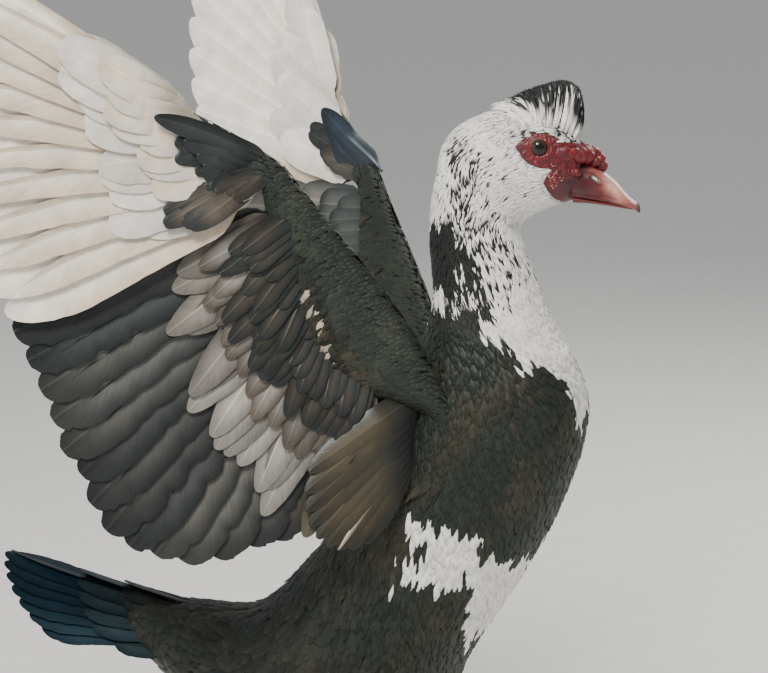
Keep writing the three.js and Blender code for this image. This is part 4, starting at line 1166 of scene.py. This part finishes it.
def fine_feathers(name, form, low, high, spacing, density, length, width, rise, nodes):
    """Hair-like feathers between two stations, swept back and, on the head, downwards."""
    coat = Coat(name)
    u, v = rows_on(plain_skin, low, high, spacing, density)
    v = v + 0.01 * rng.normal(size=len(v))
    keep = bareness(u, v) < 0
    u, v = u[keep] + 0.04 * rng.normal(size=keep.sum()), v[keep]
    n = len(u)
    p, pu, pv, _ = tangents(plain_skin, u, v)
    aim = -unit(pu) + (0.3 * blot(p, 22, 61)[:, None] + 0.13 * rng.normal(size=(n, 1))) * unit(pv)
    aim = aim + np.array([0, 0, -0.55]) * smooth(u, 16, 19)[:, None]
    size = rng.normal(1, 0.15, n)
    tone, white = body_tone(u, v, n)
    rise = rise * (0.7 + 0.6 * rng.random(n))
    points = lay(plain_skin, u, v, aim, length * size, width * size, form, rise, (9, 23.9), 0.3, 0.1)
    shown = shown_at(u, v)
    tipped = (rng.random(n) < 0.7) & (white[:, 0] < 0.5)
    tipped &= (inside(shown, BLACK_NAPE) < 2) & (inside(shown, BLACK_BODY) < 0)
    colour = mixed(tone[:, None], WHITE * 0.96, tipped[:, None] * smooth(form.q, 0.62, 0.42))
    coat.add(form, points, colour * (0.82 + 0.2 * form.q)[:, None], map_place(v, u / 24))
    coat.build(head_finish, nodes)


NECK_NODES = ["neck_lower", "neck_upper"]
fine_feathers("feathers_neck", LOCK, 11.2, 15.4, 2.9, 2.3, 12.5, 2.7, 1.2, NECK_NODES)
fine_feathers("feathers_nape", WISP, 14.8, 19.0, 2.0, 1.6, 9.5, 1.9, 0.9, NECK_NODES)
fine_feathers("feathers_head", WISP, 18.6, 23.95, 1.7, 1.35, 8.0, 1.5, 0.6, ["head"])

# %% [markdown]
# The crest stands upright at the forehead and lies back towards the nape. Its feathers are narrow
# locks, white with black ends, and each bends a little backwards along its length. The black reaches
# furthest down in front, and the last locks at the rear are white.

# %% Crest
CREST_EDGE = np.array([[581, 112], [580, 96], [577, 88], [570, 83], [562, 80.5], [553, 81.5], [538, 86], [521, 91.5],
                       [503, 99.5], [485, 108]])
LOCKS = 1500


def bent(root, middle, tip, facing, width, form, thick):
    """Narrow feathers along curves through three pull points: (1-q)^2 root + 2q(1-q) middle + q^2 tip."""
    root, middle, tip, q = root[:, None], middle[:, None], tip[:, None], form.q[None, :, None]
    line = (1 - q) ** 2 * root + 2 * q * (1 - q) * middle + q * q * tip
    slope = unit(2 * (1 - q) * (middle - root) + 2 * q * (tip - middle))
    up = unit(facing[:, None] - slope * (slope * facing[:, None]).sum(-1, keepdims=True))
    side = np.cross(slope, up)
    return line + side * (form.s * form.w * width[:, None] / 2)[..., None] + up * (form.t * thick / 2)[None, :, None]


def head_place(xy, y):
    """A point of the head for a place in the picture, at a distance y from its midplane."""
    return on_head(0.763 * (xy[:, 0] - 480), y, 0.767 * (230 - xy[:, 1]))


def crest(count):
    """Locks from the forehead's skin to the crest's edge: t runs backwards, row from side to side."""
    coat = Coat("crest")
    ahead, aside = unit(head_way(1, 0, 0)), unit(head_way(0, 1, 0))
    t = rng.random(count)
    row = np.clip(rng.normal(0, 0.62, count), -1.25, 1.25)
    root = body(23.5 - 2.9 * t - 0.35 * np.abs(row), row * 0.78, -2.0)
    reach = 0.99 - 0.05 * np.abs(row) - 0.05 * np.abs(rng.normal(size=count)) - 0.3 * (rng.random(count) < 0.12)
    reach = np.clip(reach - 0.4 * smooth(t, 0.7, 1) * rng.random(count), 0.4, 1)
    edge = between(CREST_EDGE, np.clip(t * 9 + 0.3 * rng.normal(size=count), 0, 9))
    tip = head_place(edge, 5.0 * row + 1.2 * rng.normal(size=count))
    tip = root + (tip - root) * reach[:, None]
    bulge = np.linalg.norm(tip - root, axis=1)[:, None]
    middle = 0.55 * root + 0.45 * tip + bulge * (head_way(0.12, 0, 0.22) + 0.10 * row[:, None] * aside)
    away = np.where(row > 0, 1.0, -1.0) * (1 - 0.2 * rng.random(count))
    facing = away[:, None] * aside + 0.6 * rng.normal(size=(count, 1)) * ahead
    points = bent(root, middle, tip, facing, 1.9 + 0.7 * rng.random(count), LOCK, 0.9)
    start = 0.42 + 0.07 * rng.normal(size=count) + 0.5 * (rng.random(count) < 0.11) - 0.2 * (rng.random(count) < 0.25)
    start = start + 0.7 * smooth(t, 0.8, 0.93) - 0.14 * smooth(t, 0.3, 0.0)
    colour = mixed(WHITE * 1.02, BLACK * 1.2, smooth(LOCK.q - start[:, None], -0.06, 0.08))
    coat.add(LOCK, points, colour, np.stack([0.9 - 0.2 * t, 0.5 + row * 0.1], -1))
    coat.build(head_finish, ["head"])


crest(LOCKS)

# %% [markdown]
# The face is a second, bare skin of its own, finely pebbled and bright red, which dips under the
# feathers along its edge. Round the eye it makes the lids: a raised ring whose inner edge touches
# the eyeball. Beside the bill it is smoother and darker.

# %% Face: shape
LID_RINGS = ((1.0, 7.5, 1.0), (0.5, 9.9, 0.8), (-1.5, 6.0, 0.9))  # height, radius, width
SOCKET, LIDS_END, FACE_FROM, FACE_ROUND = 5.9, 10.6, 18.6, 330


def eye_line(side, back=0.0, deep=0.0):
    """A point in or near the middle of an eye, and the way that it looks."""
    at = on_head(EYE["x"] - back, side * (EYE["y"] - deep), EYE["z"])
    return at, unit(on_head(EYE["x"] + 2.0, side * (EYE["y"] + 12), EYE["z"]) - at)


def from_line(p, at, out):
    """How far points lie from a line, and how far along it."""
    along = (p - at) @ out
    return np.linalg.norm(p - at - along[..., None] * out, axis=-1), along


def pebbles(p, size, seed):
    """Rounded lumps of a given size: the smooth field's crests, kept and softened."""
    return np.sqrt(np.clip(blot(p, size, seed), 0, None) + 0.02)


def face_lift(u, v):
    """Height of the face over the skin: sunk outside its edge, pebbled inside, ringed by lids at the eyes."""
    p, inner = body(u, v), bareness(u, v)
    lift = 0.55 * pebbles(p, 5.0, 71) + 0.4 * pebbles(p, 2.6, 72) + 0.8 * smooth(u, 22, 23.6) * pebbles(p, 8, 73)
    lift = lift * (1 - 0.75 * smooth(shown_at(u, v)[..., 1], 183, 190))
    lift = np.where(inner < 2.5, lift * smooth(inner, -1.5, 2.5), lift) - 3.2 * (1 - smooth(inner, -3.0, 0.8))
    for side, _ in SIDES:
        far, ahead = from_line(p, *eye_line(side))
        far = far * 1.1
        lid = sum(high * np.exp(-((far - radius) / wide) ** 2) for high, radius, wide in LID_RINGS)
        ring = np.where(far < SOCKET, -7.0 * smooth(SOCKET - far, 0, 0.5) - 1.2, lid + lift * smooth(far, 8, 10.5))
        lift = np.where((ahead > -8) & (far < LIDS_END), ring, lift)
    return lift - 1.0


def face(u, v):
    """The bare skin of the face: the body's surface, moved by the face's lift."""
    return body(u, v, face_lift(u, v))


# %% Face: colour
RED, HOLLOW_SHADE_RED = np.array([0.29, 0.0065, 0.014]), np.array([0.055, 0.003, 0.005])
LID, HORN_RED, DUSK = np.array([0.085, 0.03, 0.02]), np.array([0.085, 0.005, 0.009]), np.array([0.035, 0.004, 0.010])
bare_finish = Finish("bare_red_skin", Roughness=0.42, Subsurface_Weight=0.12, Subsurface_Scale=0.003,
                     Subsurface_Radius=(1.0, 0.25, 0.2), Coat_Weight=0.12, Coat_Roughness=0.35)
bare_finish = bare_finish.grained(1400, 0.75, 1.3, 0.6, 0.0005)

us = np.concatenate([np.linspace(FACE_FROM, 23.98, 190), [24.3]])
points, quads, tris = outward(tube(face, us, FACE_ROUND))
all_u = np.concatenate([np.repeat(us, FACE_ROUND), us[[0, -1]]])
all_v = np.concatenate([np.tile(np.arange(FACE_ROUND) * 2 * np.pi / FACE_ROUND, len(us)), [0, 0]])
shown = in_picture(points)
x, y = shown.T
# Painted shade: the red turns dark where the face lies low, in the hollows between its pebbles, where it dips under the
# feathers and in the eye sockets.
tone = mixed(HOLLOW_SHADE_RED, RED, smooth(face_lift(all_u, all_v), -1.2, 0.8)) * (1 - 0.42 * smooth(x, 556, 584))[:, None]
tone = mixed(tone, HORN_RED, 0.85 * smooth(y, 182, 190) * smooth(x, 546, 556))
tone = mixed(tone, DUSK, 0.8 * spot(shown, 573, 183, 12, 12))
for side, _ in SIDES:
    far, ahead = from_line(points, *eye_line(side))
    tone = mixed(tone, LID, np.exp(-((far - 5.75) / 0.5) ** 2) * (ahead > -8))
make("face", points, [quads, tris], bare_finish, ["head"], tone)

# %% [markdown]
# Bumps over the bill and along the lore are balls pushed out of round by the same random field. A
# row of small, dark purple ones runs down the seam where face and bill meet.

# %% Balls
X, Y, Z = np.eye(3)
PURPLE = np.array([0.045, 0.004, 0.010])


def ball(at, r, us, count, side=X, top=Y, pole=Z, rough=None):
    """A closed ball: sin a cos b along its side, sin a sin b along its top and cos a along its pole."""
    def surface(a, b):
        a, b = np.broadcast_arrays(a, b)
        parts = (np.sin(a) * np.cos(b), side), (np.sin(a) * np.sin(b), top), (np.cos(a), pole)
        out = r * sum(share[..., None] * way for share, way in parts)
        return at + (out if rough is None else out * rough(at + out)[..., None])
    return outward(tube(surface, us, count))


# %% Caruncles
def caruncle_places():
    """x, y, z and radius of each bump on the head: over the bill, along the lore, and down the seam."""
    yield from ((85, 0, 59.2, 5.6), (89, 1.0, 55, 5.0), (91, -0.6, 49.5, 4.8), (80, 4.5, 59.5, 5.8),
                (80, -4.5, 59.5, 5.8), (86, 4.6, 53.5, 5.0), (86, -4.6, 53.5, 5.0), (75, 0, 62.5, 5.6))
    for side, _ in SIDES:
        for k in range(9):
            s = k / 8
            wide = 20.6 - 9.5 * s ** 1.4
            yield 60 + 21 * s, side * (wide - 4.0), 60.8 - 3.0 * s + 0.8 * np.sin(k * 2.1), 6.4 + 0.7 * np.sin(k * 1.3)
            if k < 5:
                yield 60 + 26 * s, side * (wide - 2.4), 47.5 - 3.0 * s, 3.4 + 0.5 * np.sin(k * 1.9)
        for z in (30, 33.5, 37, 40.5):
            yield 70.6 + 0.5 * np.sin(3 * z), side * (11.5 - 0.012 * (z - 36) ** 2), z, 3.0 + 0.4 * np.sin(2 * z)


SEAM_TOP = 45
bumps, tones = [], []
for x, y, z, r in caruncle_places():
    at = on_head(x, y, z)
    bumps.append(ball(at, r, np.linspace(0.06, np.pi - 0.06, 15), 22, top=0.9 * Y, pole=0.92 * Z,
                      rough=lambda p: 1 + 0.06 * blot(p, 8, 81) + 0.035 * blot(p, 3, 82)))
    # Painted shade: each bump is darker red where its surface dips in.
    deep = smooth(np.linalg.norm(bumps[-1][0] - at, axis=-1) / r, 0.8, 1.12)
    shade = rng.normal(0.8, 0.07)
    tones.append(mixed(HOLLOW_SHADE_RED, RED, deep) * shade if z > SEAM_TOP else np.tile(PURPLE * shade * 1.4, (len(deep), 1)))
points, quads, tris = joined(bumps)
make("caruncles", points, [quads, tris], bare_finish, ["head"], np.concatenate(tones))

# %% Pale granules where the face meets the cheek's feathers
TRIES = 6000
u, v = 20.2 + 3.4 * rng.random(TRIES), 2 * np.pi * rng.random(TRIES)
shown = shown_at(u, v)
chance = spot(shown, 552, 177, 6, 10) + 0.10 * spot(shown, 540, 150, 16, 12)
keep = (rng.random(TRIES) < 0.45 * chance) & (bareness(u, v) > 0.5)
grains = [ball(at, r, np.linspace(0.1, np.pi - 0.1, 6), 8)
          for at, r in zip(face(u[keep], v[keep]), 0.35 + 0.45 * rng.random(keep.sum()))]
points, quads, tris = joined(grains)
make("granules", points, [quads, tris], bare_finish, ["head"], np.tile([0.48, 0.17, 0.17], (len(points), 1)))
print("granules", len(grains))

# %% [markdown]
# An eye is a clear, wet ball. Its iris is dark brown and lighter towards its rim, round a black pupil,
# told by the distance from the line that looks straight out of the eye.

# %% Eyes
EYEBALL, PUPIL, IRIS_RIM = 7.7, 3.4, 6.1
wet = Finish("eye_wet", Roughness=0.05, Coat_Weight=0.25, Coat_Roughness=0.02, IOR=1.38).grained(2600, 0.7, 1.4, 0, 0)
for side, name in SIDES:
    at, out = eye_line(side, 0.2, 1.5)
    across = unit(np.cross(out, Z))
    p, q, t = ball(at, EYEBALL, np.linspace(0.02, np.pi - 0.02, 36), 48, across, np.cross(across, out), out)
    far, _ = from_line(p, at, out)
    iris = mixed(np.array([0.024, 0.015, 0.008]), np.array([0.055, 0.043, 0.024]), smooth(far, 5.2, IRIS_RIM))
    tone = mixed(iris, 0.003, smooth(far, PUPIL, 3.1))
    make(f"eyeball_{name}", p, [q, t], wet, [f"eye_{name}"], tone)

# %% [markdown]
# The bill is two halves that meet along the line of the mouth. The upper one is broad and flat ahead, has long nostrils
# let into its sides, and ends in a hard, hooked nail. A nostril is painted as a pale slit, a painted highlight, with a
# dark ring of painted shade round it.

# %% Bill: shape
# each row: x, z of the top and the lower edge, half width
UPPER = [[70, 58, 25.9, 14.4], [80, 53, 24.6, 13.8], [88, 48, 23.2, 12.8], [94, 44.5, 22.2, 12.3], [102, 38, 20.8, 12],
         [110.5, 28.8, 19.3, 11.6], [115.4, 24.4, 17.9, 9.6], [118.2, 21.8, 15.5, 6.8], [119.9, 18.6, 14.7, 3.2]]
LOWER = [[70, 26.9, 21.8, 12.6], [84, 24.9, 21.2, 11.9], [97, 22.7, 19.6, 11.1], [107, 20.8, 18, 10.2],
         [114.5, 19.5, 16.9, 7.6], [116.6, 19.1, 17.0, 3.0]]
NOSTRIL = (86.2, 41.2)


def in_nostril(x, z, long, high):
    """1 inside an oval of a given half length and height that slants down and ahead through the nostril."""
    x, z = x - NOSTRIL[0], z - NOSTRIL[1]
    return np.exp(-((0.82 * x - 0.57 * z) / long) ** 4 - ((0.57 * x + 0.82 * z) / high) ** 4)


def bill(rows, upper):
    """A half of the bill: an oval between its top and lower edges, squarer at the mouth than outside."""
    def surface(u, v):
        u, v = np.broadcast_arrays(u, v)
        x, high, low, wide = np.moveaxis(along_rows(rows, u), -1, 0)
        up, out = np.sin(v), np.cos(v)
        mouth = (up < 0) == upper
        z = (high + low) / 2 + (high - low) / 2 * fuller(up, np.where(mouth, 0.3, 0.8))
        y = wide * fuller(out, np.where(mouth, 0.45, 0.7)) * (1 - 0.28 * np.abs(up) * ~mouth)
        if upper:
            slot = in_nostril(x, z, 3.3, 1.4)
            rim = in_nostril(x, z, 5.8, 3.6) - slot
            lip = np.exp(-((z - low - 2.6) / 1.3) ** 2) * smooth(x, 76, 84) * smooth(x, 118, 112)
            furrow = np.exp(-((z - low - 5.2) / 1.4) ** 2)
            y = y * (1 - 0.22 * slot + 0.06 * rim) * (1 + 0.045 * lip) * (1 - 0.03 * furrow)
        nail = smooth(x, 112.5, 115) * np.exp(-(y / 6) ** 4) * 0.5
        return on_head(x, y, z + nail * (up > 0.2))
    return surface


# %% Bill: colour
DEEP_RED, SALMON, CULMEN_HIGHLIGHT_PEACH = np.array([0.075, 0.004, 0.008]), np.array([0.38, 0.12, 0.09]), np.array([0.66, 0.40, 0.31])
BILL_DUSK, MOUTH_EDGE = np.array([0.045, 0.004, 0.009]), np.array([0.16, 0.022, 0.022])
NAIL, NOSTRIL_SHADE, NOSTRIL_HIGHLIGHT = np.array([0.012, 0.009, 0.009]), np.array([0.03, 0.008, 0.010]), np.array([0.72, 0.66, 0.60])

horn = Finish("bill_horn", Roughness=0.36, Subsurface_Weight=0.08, Subsurface_Scale=0.002, Coat_Weight=0.18,
              Coat_Roughness=0.25)
grain, streak = horn.noise(700, 4), horn.noise(160, 4, rough=0.7)
factor = horn.math("MULTIPLY", horn.spread(grain, 0.3, 0.7, 0.9, 1.1), horn.spread(streak, 0.3, 0.7, 0.72, 1.28))
horn = horn.dyed(factor, grain, 0.25, 0.0004)


def bill_tone(p, upper):
    """Blood red at the base, salmon towards the tip with darker streaks and a painted highlight on the culmen, and a
    black nail.
    """
    q = p - on_head(0, 0, 0)
    ahead, aside = unit(head_way(1, 0, 0)), unit(head_way(0, 1, 0))
    x, y, z = q @ ahead, q @ aside, q[:, 2]
    share = smooth(x + 2.5 * blot(p * [1, 1, 2.2], 9, 91) + 0.9 * (z - 30), 88, 107)
    # Painted highlight: a peach patch along the culmen, where the light catches the bill.
    pale = 0.75 * smooth(x, 90, 97) * smooth(x, 112, 100) * np.exp(-((z - 40 + 0.9 * (x - 94)) / 5.5) ** 2)
    colour = mixed(mixed(DEEP_RED, SALMON, share), CULMEN_HIGHLIGHT_PEACH, pale) * (1.0 if upper else 0.6)
    colour = mixed(colour, BILL_DUSK, 0.85 * smooth(x, 86, 77))
    edge = (0.45 if upper else 0.6) * np.exp(-((z - (25.8 - 0.19 * (x - 72))) / 2.4) ** 2)
    colour = mixed(colour, MOUTH_EDGE, edge)
    colour = mixed(colour, NAIL, smooth(x, 110.9, 112.9) * np.exp(-(y / 7) ** 6))
    if upper:
        # Painted shade and highlight: a dark ring round the nostril's opening and a pale slit inside it.
        colour = mixed(colour, NOSTRIL_SHADE, 0.9 * in_nostril(x, z, 4.4, 2.6))
        colour = mixed(colour, NOSTRIL_HIGHLIGHT, in_nostril(x, z, 2.6, 1.0))
    return colour


for half, node, rows in (("top_half", "upper", UPPER), ("low_half", "lower", LOWER)):
    upper = node == "upper"
    p, q, t = tube(bill(rows, upper), np.linspace(0, len(rows) - 1, 160), 96)
    make(f"bill_{half}", p, [q, t], horn, [f"bill_{node}"], bill_tone(p, upper))

# %% [markdown]
# Thighs carry body feathers. Below them the leg is bare, with rows of small plates, and the three
# front toes are joined by webs. The feet lie outside the photo, so they follow the species.

# %% Thigh feathers
for side, name in SIDES:
    thigh_skin = lambda u, v: leg(side, THIGH, np.maximum(5 - u, 0), -side * v, -2.0)
    u, v = rows_on(thigh_skin, 0.02, 4.95, 4.6, 4.8)
    n = len(u)
    p, pu, _, _ = tangents(thigh_skin, u, v)
    aim = -unit(pu) + np.array([-0.35, 0, -0.2]) + 0.12 * rng.normal(size=(n, 3))
    long = (12 + 3.0 * u) * rng.normal(1, 0.1, n)
    rise = 2.2 * (0.7 + 0.6 * rng.random(n))
    points = lay(thigh_skin, u, v, aim, long, long * 0.42, LEAF, rise, (-0.35, 4.99), base=0.3)
    tone = mixed(GREEN, BROWN, smooth(blot(p, 40, 51), -0.8, 1.0)) * (0.8 + 0.4 * rng.random((n, 1)))
    coat = Coat(f"feathers_thigh_{name}")
    coat.add(LEAF, points, tone[:, None] * (0.75 + 0.35 * LEAF.q)[:, None], map_place(v, u / 5))
    coat.build(body_finish, [f"thigh_{name}"])

# %% Shapes of the feet
# each toe: the way it points in degrees outwards, its length, half width and height
TOES = {"inner": (-24, 47, 5, 10), "middle": (3, 60, 5.6, 11), "outer": (29, 56, 5, 10), "hind": (200, 15, 3.6, 8)}
WEB_EDGE = [0, 0.06, 0.25, 0.45, 0.51, 0.57, 0.75, 0.94, 1], [46, 44, 40, 50, 57, 52, 42, 50, 54]


def toe(side, out, long, wide, high):
    """A toe: rings that taper along it, with a pad at each joint and plates over the top; flat below."""
    angle = np.radians(out) * side
    ahead, across = np.array([np.cos(angle), np.sin(angle), 0]), np.array([-np.sin(angle), np.cos(angle), 0])

    def surface(u, v):
        u, v = np.broadcast_arrays(u, v)
        pads, plates = 1 + 0.06 * np.cos(u * np.pi * 5), 1 + 0.022 * np.sin(u * long * 2.2) * (np.sin(v) > 0.2)
        taper = (1 - 0.32 * u) * pads * plates
        z = np.maximum(0, high * taper * (0.42 + 0.58 * np.sin(v)))
        flat = wide * taper * np.cos(v)
        base = np.array([FOOT_X, side * FOOT_Y, 0])
        return base + (u * long)[..., None] * ahead + flat[..., None] * across + z[..., None] * Z
    return surface, ahead


def claw(tip, ahead, r):
    """A claw from the tip of a toe: a cone that rises a little and bends down along its length."""
    across = np.cross(Z, ahead)

    def surface(u, v):
        u, v = np.broadcast_arrays(u, v)
        size = r * (1 - u) ** 0.7 + 0.15
        centre = tip + (0.3 + 13.2 * u)[..., None] * ahead + (1.6 * u - 3.4 * u * u)[..., None] * Z
        point = centre + (size * np.cos(v))[..., None] * across + (size * 0.9 * np.sin(v))[..., None] * Z
        return np.maximum(point, [-np.inf, -np.inf, 0.2])
    return outward(tube(surface, np.linspace(0, 1, 16), 16))


def web(side):
    """The webs: a thin lens along every direction between the inner and the outer toe."""
    def surface(u, v):
        u, v = np.broadcast_arrays(u, v)
        angle = np.radians(-24 + 53 * u) * side
        r = 3 + (np.interp(u, *WEB_EDGE) - 3) * (0.5 - 0.5 * np.cos(v))
        z = 1.3 + 1.15 * np.sin(v) + 0.18 * np.sin(v) * np.cos(u * 90)
        return np.stack([FOOT_X + r * np.cos(angle), side * FOOT_Y + r * np.sin(angle), z], -1)
    return surface


def shank(side):
    """The bare shank, with plates across its front, narrower where it leaves the thigh."""
    return lambda u, v: leg(side, SHANK, u, v, 0.25 * np.sin(u * 26) * (np.cos(v) > 0.3) - 2.6 * smooth(u, 0.5, 0))


def ankle(side):
    """The ankle above the toes, cut flat at the floor."""
    return lambda u, v: np.maximum(leg(side, ANKLE, u, v), [-np.inf, -np.inf, 0.0])


# %% Legs and feet
TOE_END = 0.68
scaly = Finish("leg_scales", Roughness=0.45, Coat_Weight=0.1)
cells = scaly.add("TexVoronoi", {"Scale": 520.0, "Vector": scaly.add("TexCoord").outputs["Object"]},
                  feature="DISTANCE_TO_EDGE").outputs["Distance"]
plates = scaly.spread(cells, 0.0, 0.12)
scaly = scaly.dyed(scaly.spread(plates, 0, 1, 0.62, 1.08), plates, 0.6, 0.0006)
claw_finish = Finish("claw_horn", Roughness=0.3).two_tone(500, (0.02, 0.017, 0.014), (0.07, 0.055, 0.04), 0.0003)

for side, name in SIDES:
    tubes = [tube(shank(side), np.linspace(0, 3.0, 80), 36), tube(ankle(side), np.linspace(-0.2, 3, 30), 36)]
    for label, sizes in TOES.items():
        surface, ahead = toe(side, *sizes)
        tubes.append(tube(surface, np.linspace(0, 1.0, 50), 24))
        end = surface(np.array([1.0]), np.array([[0.0], [np.pi]])).reshape(2, 3).mean(0)
        tip = np.array([end[0], end[1], sizes[3] * TOE_END * 0.94 * 0.45])
        p, q, t = claw(tip, ahead, sizes[2] * TOE_END * 0.62)
        make(f"nail_{name}_{label}", p, [q, t], claw_finish, [f"claw_{name}_{label}"])
    tubes.append(tube(web(side), np.linspace(0, 1, 80), 40))
    points, quads, tris = joined([outward(part) for part in tubes])
    mix = smooth(blot(points, 14, 55) + 0.5 * blot(points, 5, 56), 0.3, 0.9)
    tone = mixed(np.array([0.30, 0.23, 0.075]), np.array([0.055, 0.050, 0.036]), mix)
    make(f"leg_{name}", points, [quads, tris], scaly, [f"shank_{name}", f"foot_{name}"], tone)
